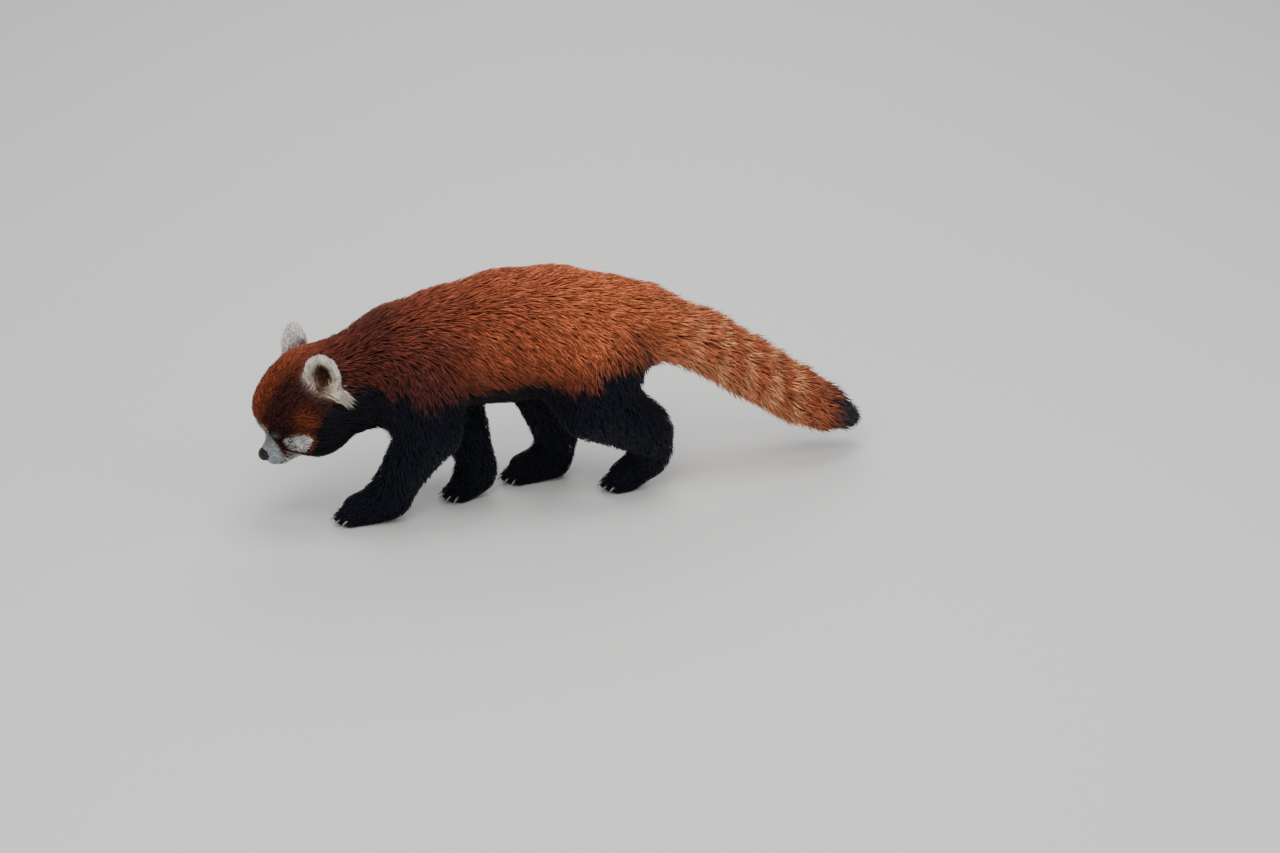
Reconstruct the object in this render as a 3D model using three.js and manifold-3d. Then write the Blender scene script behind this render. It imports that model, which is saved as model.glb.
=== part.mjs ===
// A red panda at life size, walking with its head low and its tail held out behind.
// Millimetres, +Z up, nose towards -X, left side towards -Y, soles on z = 0.
// The body is one smooth surface round the bones' lines, meshed piece by piece and parted with thin cuts.
// The group is moved at the end so that its origin lies on the floor under the middle of its box.
import * as THREE from "three";
import { mergeVertices } from "three/addons/utils/BufferGeometryUtils.js";
import Module from "manifold-3d";

const wasm = await Module();
wasm.setup();

const gap = 0.3; // between pieces that touch
const far = 600; // reach of a cutting solid
const cell = { trunk: 22, neck: 20, head: 10, ear: 6, tail: 19, leg: 15 }; // mesh sizes
const coatDepth = 8; // from the tips of the coat down to the core that carries its locks
const v3 = (x = 0, y = 0, z = 0) => new THREE.Vector3(x, y, z);

// Lines of the trunk: [x, y, z, radius out to the coat]
const torsoLine = [
  [-165, 0, 189, 69],
  [-110, 0, 204, 71],
  [-45, 0, 210, 78],
  [15, 0, 210, 77],
  [70, 0, 205, 67],
  [108, 0, 206, 48],
];
const trunkNarrowing = 0.92; // width of the trunk over its height
const neckLine = [
  [-165, 0, 189, 69],
  [-222, 0, 172, 58],
  [-258, 0, 160, 53],
];
const tailLine = [
  [104, 0, 208, 44],
  [140, 1, 203, 38],
  [200, 4, 174, 36],
  [260, 10, 129, 35],
  [320, 17, 84, 33],
  [358, 22, 60, 27],
  [388, 26, 43, 12],
];

// Legs: the line from shoulder or hip to wrist or ankle, then the paw from heel to toes
const legLines = {
  foreleg_left: [
    [-156, -32, 180, 48],
    [-142, -40, 120, 37],
    [-184, -24, 44, 25],
  ],
  foreleg_right: [
    [-134, 32, 180, 46],
    [-98, 36, 120, 34],
    [-76, 18, 44, 23],
  ],
  hindleg_left: [
    [62, -32, 180, 52],
    [54, -38, 130, 45],
    [124, -22, 76, 30],
    [132, -16, 52, 24],
  ],
  hindleg_right: [
    [48, 32, 180, 50],
    [12, 42, 122, 39],
    [28, 42, 56, 27],
  ],
};
const pawLines = {
  forepaw_left: [
    [-190, -22, 26, 24],
    [-226, -19, 15, 20],
  ],
  forepaw_right: [
    [-76, 16, 26, 22],
    [-92, 13, 15, 19],
  ],
  hindpaw_left: [
    [124, -14, 34, 22],
    [98, -12, 15, 20],
  ],
  hindpaw_right: [
    [22, 41, 24, 24],
    [-12, 40, 15, 20],
  ],
};
const legOfPaw = {
  forepaw_left: "foreleg_left",
  forepaw_right: "foreleg_right",
  hindpaw_left: "hindleg_left",
  hindpaw_right: "hindleg_right",
};
const wristCut = { forepaw_left: 42, forepaw_right: 42, hindpaw_left: 46, hindpaw_right: 42 };
const legTopX = {
  foreleg_left: [-206, -92],
  foreleg_right: [-200, -50],
  hindleg_left: [-4, 142],
  hindleg_right: [-44, 112],
};
const legTopZ = { inner: 126, outer: 196, foot: 106 }; // slanted cut between leg and trunk
const trunkWidest = 90;

// Head, in its own frame: forward, up and left of its centre
const headCentre = v3(-281, 2, 146);
const headPitch = THREE.MathUtils.degToRad(-32);
const headTurn = THREE.MathUtils.degToRad(9); // towards its left
const headAhead = v3(-Math.cos(headTurn), -Math.sin(headTurn), 0);
const headForward = headAhead.clone().multiplyScalar(Math.cos(headPitch)).setZ(Math.sin(headPitch));
const headUp = headAhead.clone().multiplyScalar(-Math.sin(headPitch)).setZ(Math.cos(headPitch));
const headLeft = v3(Math.sin(headTurn), -Math.cos(headTurn), 0);
const skull = { at: [-13, 9, 0], radii: [58, 52, 54] };
const forehead = { at: [18, 21, 0], radii: [35, 29, 38] };
const cheek = { at: [2, -18, 30], radii: [36, 31, 32] };
const muzzle = { from: [28, -14, 0], to: [59, -21, 0], radii: [26, 15.5] };
const jaw = { from: [10, -30, 0], to: [52, -33, 0], radii: [24, 10] };
const nose = { at: [71, -17, 0], radii: [9, 7.5, 10.5] };
const eye = { at: [42.6, 6.3, 19.6], radius: 7, look: [0.72, 0.12, 0.68] };
const lid = { thickness: 1.7, forward: 3.6 };
const mouth = { reach: [56, 48, 40, 32], height: -31.5, rise: 0.12, depth: 1.5 };
const ear = { at: [-35, 42.5, 48], height: 29, width: 20.5, depth: 10, cupDepth: 13, rootDepth: 17, rootWidth: 22 };
const earAxes = { cup: [0.55, 0.15, 0.82], tip: [-0.45, 0.88, 0.14] }; // the cup looks forwards and outwards
const earRegion = { thick: 50, tall: 80 };
const toe = { count: 5, spread: 0.5, radii: [10, 6, 7], height: 8.5 };
const claw = { radius: 1.9, length: 11, droop: 0.35 };

const headBasis = new THREE.Matrix4()
  .makeBasis(headForward, headUp, headLeft.clone().negate())
  .setPosition(headCentre); // its third axis is the head's right

const fromHead = (f, u, l) =>
  headCentre.clone().addScaledVector(headForward, f).addScaledVector(headUp, u).addScaledVector(headLeft, l);
const inHead = (p) => {
  const d = p.clone().sub(headCentre);
  return v3(d.dot(headForward), d.dot(headUp), d.dot(headLeft));
};

// Distance fields: negative inside
const blended = (a, b, k) => {
  const h = Math.max(k - Math.abs(a - b), 0) / k;
  return Math.min(a, b) - (h * h * k) / 4;
};
const scratch = new THREE.Vector3();
const along = new THREE.Vector3();
function limb(p, a, b, ra, rb) {
  along.copy(b).sub(a);
  scratch.copy(p).sub(a);
  const t = THREE.MathUtils.clamp(scratch.dot(along) / along.lengthSq(), 0, 1);
  return scratch.addScaledVector(along, -t).length() - (ra + (rb - ra) * t);
}
function chain(line, k, narrowing = 1, depths = []) {
  const ends = line.map(([x, y, z]) => v3(x, y / narrowing, z));
  const radii = line.map(([, , , r], i) => r - (depths[i] ?? 0));
  return (p) => {
    const q = v3(p.x, p.y / narrowing, p.z);
    let d = Infinity;
    for (let i = 1; i < ends.length; i++) {
      d = blended(d, limb(q, ends[i - 1], ends[i], radii[i - 1], radii[i]), k);
    }
    return d;
  };
}
function ellipsoid({ at, radii }) {
  const centre = v3(...at);
  const r = v3(...radii);
  return (p) => {
    const q = p.clone().sub(centre);
    const near = q.clone().divide(r).length();
    const steep = q.clone().divide(r).divide(r).length();
    return steep > 1e-9 ? (near * (near - 1)) / steep : -Math.min(r.x, r.y, r.z);
  };
}
const chainBlend = 6;
const paws = Object.fromEntries(Object.entries(pawLines).map(([k, line]) => [k, chain(line, chainBlend)]));
// The body without its head, out to the tips of the coat or, where it carries locks, only to its core
function bodyFields(depth) {
  const all = (line) => line.map(() => depth);
  const legDepths = [depth, depth / 2];
  const legs = Object.entries(legLines).map(([k, line]) => [k, chain(line, chainBlend, 1, legDepths)]);
  return {
    torso: chain(torsoLine, chainBlend, trunkNarrowing, all(torsoLine)),
    neck: chain(neckLine, chainBlend, trunkNarrowing, all(neckLine)),
    tail: chain(tailLine, chainBlend, 1, all(tailLine)),
    legs: Object.fromEntries(legs),
  };
}
const outline = bodyFields(0);
const core = bodyFields(coatDepth);

const parts = {
  skull: ellipsoid(skull),
  forehead: ellipsoid(forehead),
  cheek: ellipsoid(cheek),
};
const earCup = v3(...earAxes.cup).normalize();
const earSide = earCup.clone().cross(v3(...earAxes.tip)).normalize();
const earTip = earSide.clone().cross(earCup);
function earField(q) {
  const d = v3(q.x, q.y, Math.abs(q.z)).sub(v3(...ear.at));
  const p = v3(d.dot(earCup), d.dot(earTip), d.dot(earSide));
  const outer = ellipsoid({ at: [0, 0, 0], radii: [ear.depth, ear.height, ear.width] })(p);
  const cup = ellipsoid({ at: [ear.cupDepth, 3, 0], radii: [ear.depth + 5, ear.height * 0.74, ear.width * 0.7] })(p);
  return Math.max(outer, -cup);
}
function headField(p) {
  const q = inHead(p);
  const mirrored = v3(q.x, q.y, Math.abs(q.z));
  let d = parts.skull(q);
  d = blended(d, parts.forehead(q), 20);
  d = blended(d, parts.cheek(mirrored), 22);
  d = blended(d, limb(q, v3(...muzzle.from), v3(...muzzle.to), ...muzzle.radii), 16);
  d = blended(d, limb(q, v3(...jaw.from), v3(...jaw.to), ...jaw.radii), 10);
  return d;
}
const frontField = (body) => (p) => {
  const d = blended(headField(p), body.neck(p), 26);
  return blended(d, earField(inHead(p)), 8);
};
const legBlend = 26;
const tailBlend = 22;
const rumpField = (body) => (p) => blended(body.torso(p), body.tail(p), tailBlend);
const trunkField = (body) => (p) => {
  let d = blended(blended(body.torso(p), body.neck(p), 14), body.tail(p), tailBlend);
  for (const leg of Object.values(body.legs)) d = blended(d, leg(p), legBlend);
  return d;
};
const legField = (body, leg, paw) => (p) => {
  const trunk = blended(body.torso(p), body.neck(p), 14);
  return blended(blended(trunk, body.legs[leg](p), legBlend), paws[paw](p), 12);
};

// Meshes a field inside a box: one point in each cell that the surface crosses, then moved onto the surface
function slopeAt(field, p) {
  const e = 0.05;
  const at = (x, y, z) => field(v3(p.x + x, p.y + y, p.z + z));
  return v3(at(e, 0, 0) - at(-e, 0, 0), at(0, e, 0) - at(0, -e, 0), at(0, 0, e) - at(0, 0, -e)).divideScalar(2 * e);
}
function ontoSurface(field, p, steps, most) {
  const start = p.clone();
  for (let i = 0; i < steps; i++) {
    const slope = slopeAt(field, p);
    p.addScaledVector(slope, -field(p) / Math.max(slope.lengthSq(), 0.25));
  }
  const moved = p.clone().sub(start);
  if (moved.length() > most) p.copy(start).add(moved.setLength(most));
  return p;
}
// A cell's corners are numbered by their bits, x first, and its edges run from the corner with the bit clear
const corners = [0, 1, 2, 3, 4, 5, 6, 7].map((c) => [c & 1, (c >> 1) & 1, c >> 2]);
const cellEdges = [];
for (let a = 0; a < 8; a++) for (const bit of [1, 2, 4]) if (!(a & bit)) cellEdges.push([a, a | bit]);
const edgeFrom = (corner, axis) => cellEdges.findIndex(([a, b]) => a === corner && b === (corner | (1 << axis)));
const edgeBetween = (p, q) => cellEdges.findIndex(([a, b]) => a === Math.min(p, q) && b === Math.max(p, q));
const cellFaces = [];
for (const bit of [1, 2, 4])
  for (const on of [0, bit]) {
    const [u, w] = [1, 2, 4].filter((other) => other !== bit);
    cellFaces.push([on, on | u, on | u | w, on | w]);
  }
// The crossed edges of a cell, grouped into the sheets of surface that pass through it
function sheetsIn(at) {
  if (at.every((x) => x < 0) || at.every((x) => x > 0)) return [];
  const group = cellEdges.map(([a, b], i) => (at[a] < 0 !== at[b] < 0 ? i : -1));
  const join = (a, b) => {
    const [from, to] = [group[a], group[b]];
    group.forEach((g, i) => (group[i] = g === from ? to : g));
  };
  for (const face of cellFaces) {
    const sides = face.map((c, i) => edgeBetween(c, face[(i + 1) % 4]));
    const crossed = sides.filter((e) => group[e] >= 0);
    if (crossed.length === 2) join(...crossed);
    if (crossed.length === 4) face.forEach((c, i) => at[c] < 0 && join(sides[i], sides[(i + 3) % 4]));
  }
  return [...new Set(group.filter((g) => g >= 0))].map((g) => cellEdges.map((_, i) => i).filter((i) => group[i] === g));
}
function meshField(field, low, high, size) {
  const n = [0, 1, 2].map((i) => Math.ceil((high[i] - low[i]) / size) + 1);
  const place = (i, j, k) => (k * n[1] + j) * n[0] + i;
  const values = new Float32Array(n[0] * n[1] * n[2]);
  for (let k = 0; k < n[2]; k++)
    for (let j = 0; j < n[1]; j++)
      for (let i = 0; i < n[0]; i++) {
        const rim = i * j * k === 0 || i === n[0] - 1 || j === n[1] - 1 || k === n[2] - 1;
        const value = field(v3(low[0] + i * size, low[1] + j * size, low[2] + k * size));
        values[place(i, j, k)] = rim ? Math.max(value, size / 2) : value || 1e-6;
      }
  const positions = [];
  const pointOf = new Map(); // by cell and edge, so that two sheets in one cell keep their own points
  for (let k = 0; k < n[2] - 1; k++)
    for (let j = 0; j < n[1] - 1; j++)
      for (let i = 0; i < n[0] - 1; i++) {
        const at = corners.map(([a, b, c]) => values[place(i + a, j + b, k + c)]);
        for (const sheet of sheetsIn(at)) {
          const p = v3(0, 0, 0);
          for (const edge of sheet) {
            const [a, b] = cellEdges[edge];
            const t = at[a] / (at[a] - at[b]);
            p.add(v3(...corners[a]).lerp(v3(...corners[b]), t));
          }
          p.divideScalar(sheet.length).add(v3(i, j, k)).multiplyScalar(size).add(v3(...low));
          const rim = [i, j, k].some((x, axis) => x === 0 || x === n[axis] - 2);
          if (!rim) ontoSurface(field, p, 3, size * 0.4);
          for (const edge of sheet) pointOf.set(place(i, j, k) * 12 + edge, positions.length / 3);
          positions.push(p.x, p.y, p.z);
        }
      }
  const index = [];
  const step = [1, n[0], n[0] * n[1]];
  const pointAt = (q) => v3(positions[3 * q], positions[3 * q + 1], positions[3 * q + 2]);
  for (let k = 0; k < n[2] - 1; k++)
    for (let j = 0; j < n[1] - 1; j++)
      for (let i = 0; i < n[0] - 1; i++) {
        const here = place(i, j, k);
        for (let axis = 0; axis < 3; axis++) {
          const inside = values[here] < 0;
          const [u, w] = [(axis + 1) % 3, (axis + 2) % 3];
          const onRim = [i, j, k][u] === 0 || [i, j, k][w] === 0;
          if (onRim || inside === values[here + step[axis]] < 0) continue;
          const quad = [[1, 1], [0, 1], [0, 0], [1, 0]].map(([du, dw]) => {
            const cellAt = here - du * step[u] - dw * step[w];
            return pointOf.get(cellAt * 12 + edgeFrom((du << u) | (dw << w), axis));
          });
          if (!inside) quad.reverse();
          const [a, b, c, d] = quad;
          const shortAC = pointAt(a).distanceTo(pointAt(c)) < pointAt(b).distanceTo(pointAt(d));
          index.push(...(shortAC ? [a, b, c, a, c, d] : [a, b, d, b, c, d]));
        }
      }
  const geometry = new THREE.BufferGeometry();
  geometry.setAttribute("position", new THREE.Float32BufferAttribute(positions, 3));
  return solid(geometry.setIndex(index));
}

// Between three.js geometry and solids that can be joined and cut
function solid(geometry) {
  const bare = new THREE.BufferGeometry().setAttribute("position", geometry.getAttribute("position"));
  if (geometry.index) bare.setIndex(geometry.index);
  const merged = mergeVertices(bare, 1e-3);
  const vertProperties = new Float32Array(merged.attributes.position.array);
  return new wasm.Manifold(new wasm.Mesh({ numProp: 3, vertProperties, triVerts: new Uint32Array(merged.index.array) }));
}
function geometryOf(piece) {
  const mesh = piece.getMesh();
  const geometry = new THREE.BufferGeometry();
  const positions = new Float32Array(mesh.numVert * 3);
  for (let i = 0; i < mesh.numVert; i++) {
    positions.set(mesh.vertProperties.subarray(i * mesh.numProp, i * mesh.numProp + 3), i * 3);
  }
  geometry.setAttribute("position", new THREE.BufferAttribute(positions, 3));
  geometry.setIndex(new THREE.BufferAttribute(new Uint32Array(mesh.triVerts), 1));
  return geometry;
}
// Keeps the largest closed surface, so that sealed hollows are filled and loose scraps go
function largest(piece) {
  let shells = [piece, piece];
  while (shells.length > 1) {
    const kept = shells.reduce((a, b) => (a.volume() > b.volume() ? a : b));
    shells = solid(geometryOf(kept)).decompose();
  }
  return shells[0];
}

// Cutting solids
function halfSpace(point, outward) {
  const box = new THREE.BoxGeometry(2 * far, 2 * far, far);
  const turn = new THREE.Quaternion().setFromUnitVectors(v3(0, 0, 1), outward.clone().normalize());
  box.applyQuaternion(turn);
  const middle = point.clone().addScaledVector(outward.clone().normalize(), far / 2);
  box.translate(middle.x, middle.y, middle.z);
  return solid(box);
}
function legTop(side, [x0, x1], margin) {
  const shape = new THREE.Shape();
  const inner = (gap / 2 - margin) * side;
  shape.moveTo(inner, 60);
  shape.lineTo(side * trunkWidest * 2, 60);
  shape.lineTo(side * trunkWidest * 2, legTopZ.inner + (legTopZ.outer - legTopZ.inner) * 2 + margin);
  shape.lineTo(inner, legTopZ.inner + margin);
  const wedge = new THREE.ExtrudeGeometry(shape, { depth: x1 - x0 + 2 * margin, bevelEnabled: false });
  // the shape's own x and y become y and z, and its depth runs along x
  wedge.applyMatrix4(new THREE.Matrix4().makeBasis(v3(0, 1, 0), v3(0, 0, 1), v3(1, 0, 0)));
  wedge.translate(x0 - margin, 0, 0);
  return solid(wedge);
}

const neckBack = { point: v3(-190, 0, 190), outward: v3(1, 0, 0.12) }; // neck in front, torso behind
const neckFront = { point: v3(-238, 0, 170), outward: v3(1, 0, 0.45) }; // head in front, neck behind
const tailRoot = { point: v3(128, 0, 205), outward: v3(1, 0, -0.25) };
const tailTipCut = { point: v3(345, 20, 67), outward: v3(1, 0.1, -0.66) };
const onSide = ({ point, outward }, shift) =>
  halfSpace(point.clone().addScaledVector(outward.clone().normalize(), shift), outward);
const before = (piece, cut) => piece.subtract(onSide(cut, -gap / 2));
const behind = (piece, cut) => piece.intersect(onSide(cut, gap / 2));
const floor = halfSpace(v3(0, 0, 0), v3(0, 0, -1));

function earBox(side, margin) {
  const { thick, tall } = earRegion;
  const box = new THREE.BoxGeometry(thick + 2 * margin, tall + 2 * margin, tall + 2 * margin);
  box.translate(ear.at[0], ear.at[1] - ear.rootDepth + tall / 2, -side * (ear.at[2] - ear.rootWidth + tall / 2));
  return solid(box.applyMatrix4(headBasis));
}

// Locks of the coat. Each starts sunk in the core, comes up to the outline along the coat's lie and tapers off.
// Its stations: share of the length, height over the outline, share of the width, thickness.
const trunkLocks = { length: 96, width: 46, spacing: 46, rows: 6, from: 0.06, to: 0.95, tipOut: 1.5, hang: 5 };
const tailLocks = { length: 80, width: 34, spacing: 34, rows: 6, from: 0.05, to: 0.84, tipOut: 2.5, hang: 0 };
const bodyStations = [
  [0, -13, 0.7, 4],
  [0.5, -1, 1, 8],
];
const headStations = [
  [0, -11, 0.6, 4],
  [0.45, 2, 1, 6],
];
// Roots on the head are given by how far forward and up they are, the lie by forward, up and outward
const ruffLocks = {
  length: 31,
  width: 15,
  tipOut: 5,
  lie: [-1, -0.3, 0.1],
  roots: [[14, 3], [15, -14], [12, -31], [-6, 10], [-7, -6], [-7, -22], [-9, -37]],
};
const earTuftLocks = { length: 30, width: 12, tipOut: 5, lie: [-0.7, -0.7, 0.2], roots: [[-30, 17], [-42, 17]] };
const lowestRoot = 112;
const endShare = 0.6; // locks near the end of a line are shortened by this share of what is left of it
const legLockSide = 25; // a leg carries only the locks further out than this
const flankFall = 0.9; // how much the coat turns downwards on the flanks
const random = seededRandom(7);
function seededRandom(seed) {
  let state = seed;
  return () => {
    state = (state * 1664525 + 1013904223) % 4294967296;
    return state / 4294967296;
  };
}
const within = (x, low, high) => THREE.MathUtils.smoothstep(x, low, high);
function onLevel(field, p, level) {
  return ontoSurface((q) => field(q) - level, p, 3, 5 * coatDepth);
}
function lock(field, root, lieAt, stations, { length, width, tipOut }) {
  const at = root.clone();
  const headingAt = (normal) => {
    const lie = lieAt(at);
    return lie.addScaledVector(normal, -lie.dot(normal)).normalize();
  };
  const positions = [];
  const steps = 4; // from one station to the next
  let done = 0;
  for (const [share, height, wide, thick] of [...stations, [1, tipOut, 0, 0]]) {
    for (let i = 0; i < steps && share > 0; i++) {
      at.addScaledVector(headingAt(slopeAt(field, at).normalize()), ((share - done) * length) / steps);
      onLevel(field, at, height);
    }
    done = share;
    onLevel(field, at, height);
    if (wide === 0) {
      positions.push(...at.toArray());
      break;
    }
    const normal = slopeAt(field, at).normalize();
    const side = normal.clone().cross(headingAt(normal)).multiplyScalar((wide * width) / 2);
    const left = onLevel(field, at.clone().add(side), height - thick / 2);
    const right = onLevel(field, at.clone().sub(side), height - thick / 2);
    const under = at.clone().addScaledVector(normal, -thick);
    positions.push(...left.toArray(), ...at.toArray(), ...right.toArray(), ...under.toArray());
  }
  const index = [0, 2, 1, 0, 3, 2];
  const tip = 4 * stations.length;
  for (let ring = 0; ring < stations.length; ring++)
    for (let j = 0; j < 4; j++) {
      const [a, b] = [4 * ring + j, 4 * ring + ((j + 1) % 4)];
      if (ring === stations.length - 1) index.push(a, b, tip);
      else index.push(a, b, b + 4, a, b + 4, a + 4);
    }
  const geometry = new THREE.BufferGeometry();
  geometry.setAttribute("position", new THREE.Float32BufferAttribute(positions, 3));
  return solid(geometry.setIndex(index));
}
// Where a ray from inside the body meets its surface at the given level
function outFrom(field, centre, outward, level) {
  const p = centre.clone();
  for (let i = 0; i < 40; i++) p.addScaledVector(outward, 0.9 * (level - field(p)));
  return p;
}
function locksRound(field, line, lieOf, sizes) {
  const curve = new THREE.CatmullRomCurve3(line.map(([x, y, z]) => v3(x, y, z)));
  const locks = [];
  for (let row = 0; row < sizes.rows; row++) {
    const share = sizes.from + ((sizes.to - sizes.from) * row) / (sizes.rows - 1);
    const centre = curve.getPointAt(share);
    const heading = curve.getTangentAt(share);
    const side = v3(0, 1, 0).addScaledVector(heading, -heading.y).normalize();
    const up = heading.clone().cross(side);
    if (up.z < 0) up.negate();
    const girth = 2 * Math.PI * -field(centre);
    const count = Math.round(girth / sizes.spacing);
    for (let j = 0; j < count; j++) {
      const angle = (2 * Math.PI * (j + (row % 2) / 2 + 0.25 * (random() - 0.5))) / count;
      const outward = up.clone().multiplyScalar(Math.cos(angle)).addScaledVector(side, Math.sin(angle));
      const root = outFrom(field, centre, outward, bodyStations[0][1]);
      if (root.z < lowestRoot && sizes === trunkLocks) continue;
      const under = Math.max(0, -Math.cos(angle));
      const left = (1 - share) * curve.getLength() * endShare;
      const length = Math.min(sizes.length * (0.9 + 0.2 * random()), sizes.length * 0.5 + left);
      const tipOut = sizes.tipOut + under * sizes.hang;
      locks.push(lock(field, root, (p) => lieOf(p, heading), bodyStations, { ...sizes, length, tipOut }));
    }
  }
  return locks;
}
function locksOnHead(sizes) {
  const field = frontField(outline);
  const locks = [];
  for (const side of [1, -1]) {
    const [ahead, above, out] = sizes.lie;
    const lie = fromHead(ahead, above, side * out).sub(headCentre);
    for (const [f, u] of sizes.roots) {
      const root = outFrom(field, fromHead(f, u, side * 15), headLeft.clone().multiplyScalar(side), headStations[0][1]);
      locks.push(lock(field, root, () => lie.clone(), headStations, sizes));
    }
  }
  return locks;
}
function trunkLie(p, heading) {
  return heading.clone().add(v3(0, 0, -flankFall * within(Math.abs(p.y), 15, 75)));
}
const trunkLine = [...neckLine.slice(1).reverse(), ...torsoLine];
const coatLocks = [
  ...locksRound(trunkField(outline), trunkLine, trunkLie, trunkLocks),
  ...locksRound(rumpField(outline), tailLine, (p, heading) => heading.clone(), tailLocks),
];
const headLocks = [...locksOnHead(ruffLocks), ...locksOnHead(earTuftLocks)];
function touches(a, b) {
  const [p, q] = [a.boundingBox(), b.boundingBox()];
  return [0, 1, 2].every((i) => p.min[i] < q.max[i] && q.min[i] < p.max[i]);
}
const withLocks = (piece, locks = coatLocks) =>
  wasm.Manifold.union([piece, ...locks.filter((one) => touches(one, piece))]);
const middleOf = (piece, i) => (piece.boundingBox().min[i] + piece.boundingBox().max[i]) / 2;

// Trunk
const trunk = meshField(trunkField(core), [-262, -118, 78], [232, 118, 320], cell.trunk);
const sideOf = (name) => (name.endsWith("left") ? -1 : 1);
function clearOfLegs(piece) {
  let kept = piece.subtract(halfSpace(v3(0, 0, legTopZ.foot + gap / 2), v3(0, 0, -1)));
  for (const [leg, range] of Object.entries(legTopX)) kept = kept.subtract(legTop(sideOf(leg), range, gap / 2));
  return kept;
}
const torso = largest(clearOfLegs(before(behind(withLocks(trunk), neckBack), tailRoot)));

// Head and neck are parted from the ears, which are meshed more finely
const front = meshField(frontField(core), [-375, -98, 44], [-190, 98, 290], cell.head);
const earReach = 46;
const ears = {};
let earless = withLocks(front, headLocks);
for (const [name, side] of [["ear_left", 1], ["ear_right", -1]]) {
  const centre = fromHead(ear.at[0], ear.at[1], side * ear.at[2]);
  const [low, high] = [-earReach, earReach].map((r) => centre.toArray().map((x) => x + r));
  ears[name] = largest(meshField(frontField(core), low, high, cell.ear).intersect(earBox(side, -gap / 2)));
  earless = earless.subtract(earBox(side, gap / 2));
}
let nape = meshField(frontField(core), [-330, -98, 60], [-150, 98, 290], cell.neck);
nape = withLocks(nape, [...coatLocks, ...headLocks]);
for (const side of [1, -1]) nape = nape.subtract(earBox(side, gap / 2));
const neck = largest(clearOfLegs(before(behind(nape, neckFront), neckBack)));

const tailWhole = withLocks(meshField(rumpField(core), [90, -90, 0], [420, 90, 290], cell.tail));
const tail = largest(before(behind(tailWhole, tailRoot), tailTipCut));
const tailTip = largest(behind(tailWhole, tailTipCut));

// Legs and paws. Toes fan out from the end of each paw's line, each with its claw.
function toesOf(paw) {
  const [[hx, hy], [tx, ty, , ballRadius]] = pawLines[paw];
  const heading = Math.atan2(ty - hy, tx - hx);
  const pieces = [];
  for (let i = 0; i < toe.count; i++) {
    const fan = (i - (toe.count - 1) / 2) * toe.spread;
    const reach = ballRadius * (0.92 - 0.09 * Math.abs(i - (toe.count - 1) / 2));
    const facing = heading + fan * 0.45;
    const at = v3(tx + Math.cos(heading + fan) * reach, ty + Math.sin(heading + fan) * reach, toe.height);
    const pad = new THREE.SphereGeometry(1, 6, 4).scale(...toe.radii).rotateZ(facing);
    pieces.push(solid(pad.translate(at.x, at.y, at.z)));
    const nail = new THREE.ConeGeometry(claw.radius, claw.length, 4).rotateZ(-Math.PI / 2).rotateY(claw.droop);
    nail.translate(toe.radii[0] + claw.length * 0.28, 0, 0).rotateZ(facing);
    pieces.push(solid(nail.translate(at.x, at.y, at.z - 1)));
  }
  return pieces;
}
function legPieces(leg, paw) {
  const line = [...legLines[leg], ...pawLines[paw]];
  const reach = 62;
  const low = [Math.min(...line.map((s) => s[0])) - reach, Math.min(...line.map((s) => s[1])) - reach, -20];
  const high = [Math.max(...line.map((s) => s[0])) + reach, Math.max(...line.map((s) => s[1])) + reach, 230];
  const outer = coatLocks.filter((one) => sideOf(leg) * middleOf(one, 1) > legLockSide);
  const whole = withLocks(meshField(legField(core, leg, paw), low, high, cell.leg), outer);
  const lower = halfSpace(v3(0, 0, legTopZ.foot - gap / 2), v3(0, 0, -1));
  const region = lower.add(legTop(sideOf(leg), legTopX[leg], -gap / 2));
  const kept = wasm.Manifold.union([whole.intersect(region), ...toesOf(paw)]).subtract(floor);
  const cut = wristCut[paw];
  return {
    [leg]: largest(kept.intersect(halfSpace(v3(0, 0, cut + gap / 2), v3(0, 0, 1)))),
    [paw]: largest(kept.subtract(halfSpace(v3(0, 0, cut - gap / 2), v3(0, 0, 1)))),
  };
}
const limbs = {};
for (const [paw, leg] of Object.entries(legOfPaw)) Object.assign(limbs, legPieces(leg, paw));

// Head, with its eyes and nose let into it
function ball(at, radii, sides, rows) {
  const sphere = new THREE.SphereGeometry(1, sides, rows).scale(...radii);
  return solid(sphere.translate(at[0], at[1], -at[2]).applyMatrix4(headBasis));
}
function eyeLid(side) {
  const rim = new THREE.TorusGeometry(eye.radius - 0.4, lid.thickness, 5, 12).scale(1.12, 0.9, 1);
  const outward = v3(eye.look[0], eye.look[1], -side * eye.look[2]).normalize();
  rim.applyQuaternion(new THREE.Quaternion().setFromUnitVectors(v3(0, 0, 1), outward));
  const at = v3(eye.at[0], eye.at[1], -side * eye.at[2]).addScaledVector(outward, lid.forward);
  return solid(rim.translate(at.x, at.y, at.z).applyMatrix4(headBasis));
}
// The line of the mouth follows the head's own surface from one corner round under the nose to the other
function mouthLine() {
  const side = mouth.reach.map((f) => {
    const height = mouth.height + (mouth.reach[0] - f) * mouth.rise;
    let l = 0;
    while (headField(fromHead(f, height, l)) < 0) l += 0.25;
    return [f, height, l];
  });
  let tip = mouth.reach[0];
  while (headField(fromHead(tip, mouth.height, 0)) < 0) tip += 0.25;
  const left = side.map(([f, u, l]) => fromHead(f, u, l));
  const right = side.map(([f, u, l]) => fromHead(f, u, -l));
  const path = new THREE.CatmullRomCurve3([...left.reverse(), fromHead(tip, mouth.height, 0), ...right]);
  const section = new THREE.Shape();
  section.absarc(0, 0, mouth.depth, 0, 2 * Math.PI);
  const options = { extrudePath: path, steps: 16, curveSegments: 5, bevelEnabled: false };
  return solid(new THREE.ExtrudeGeometry(section, options));
}
let headWhole = before(earless, neckFront).subtract(mouthLine());
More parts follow.
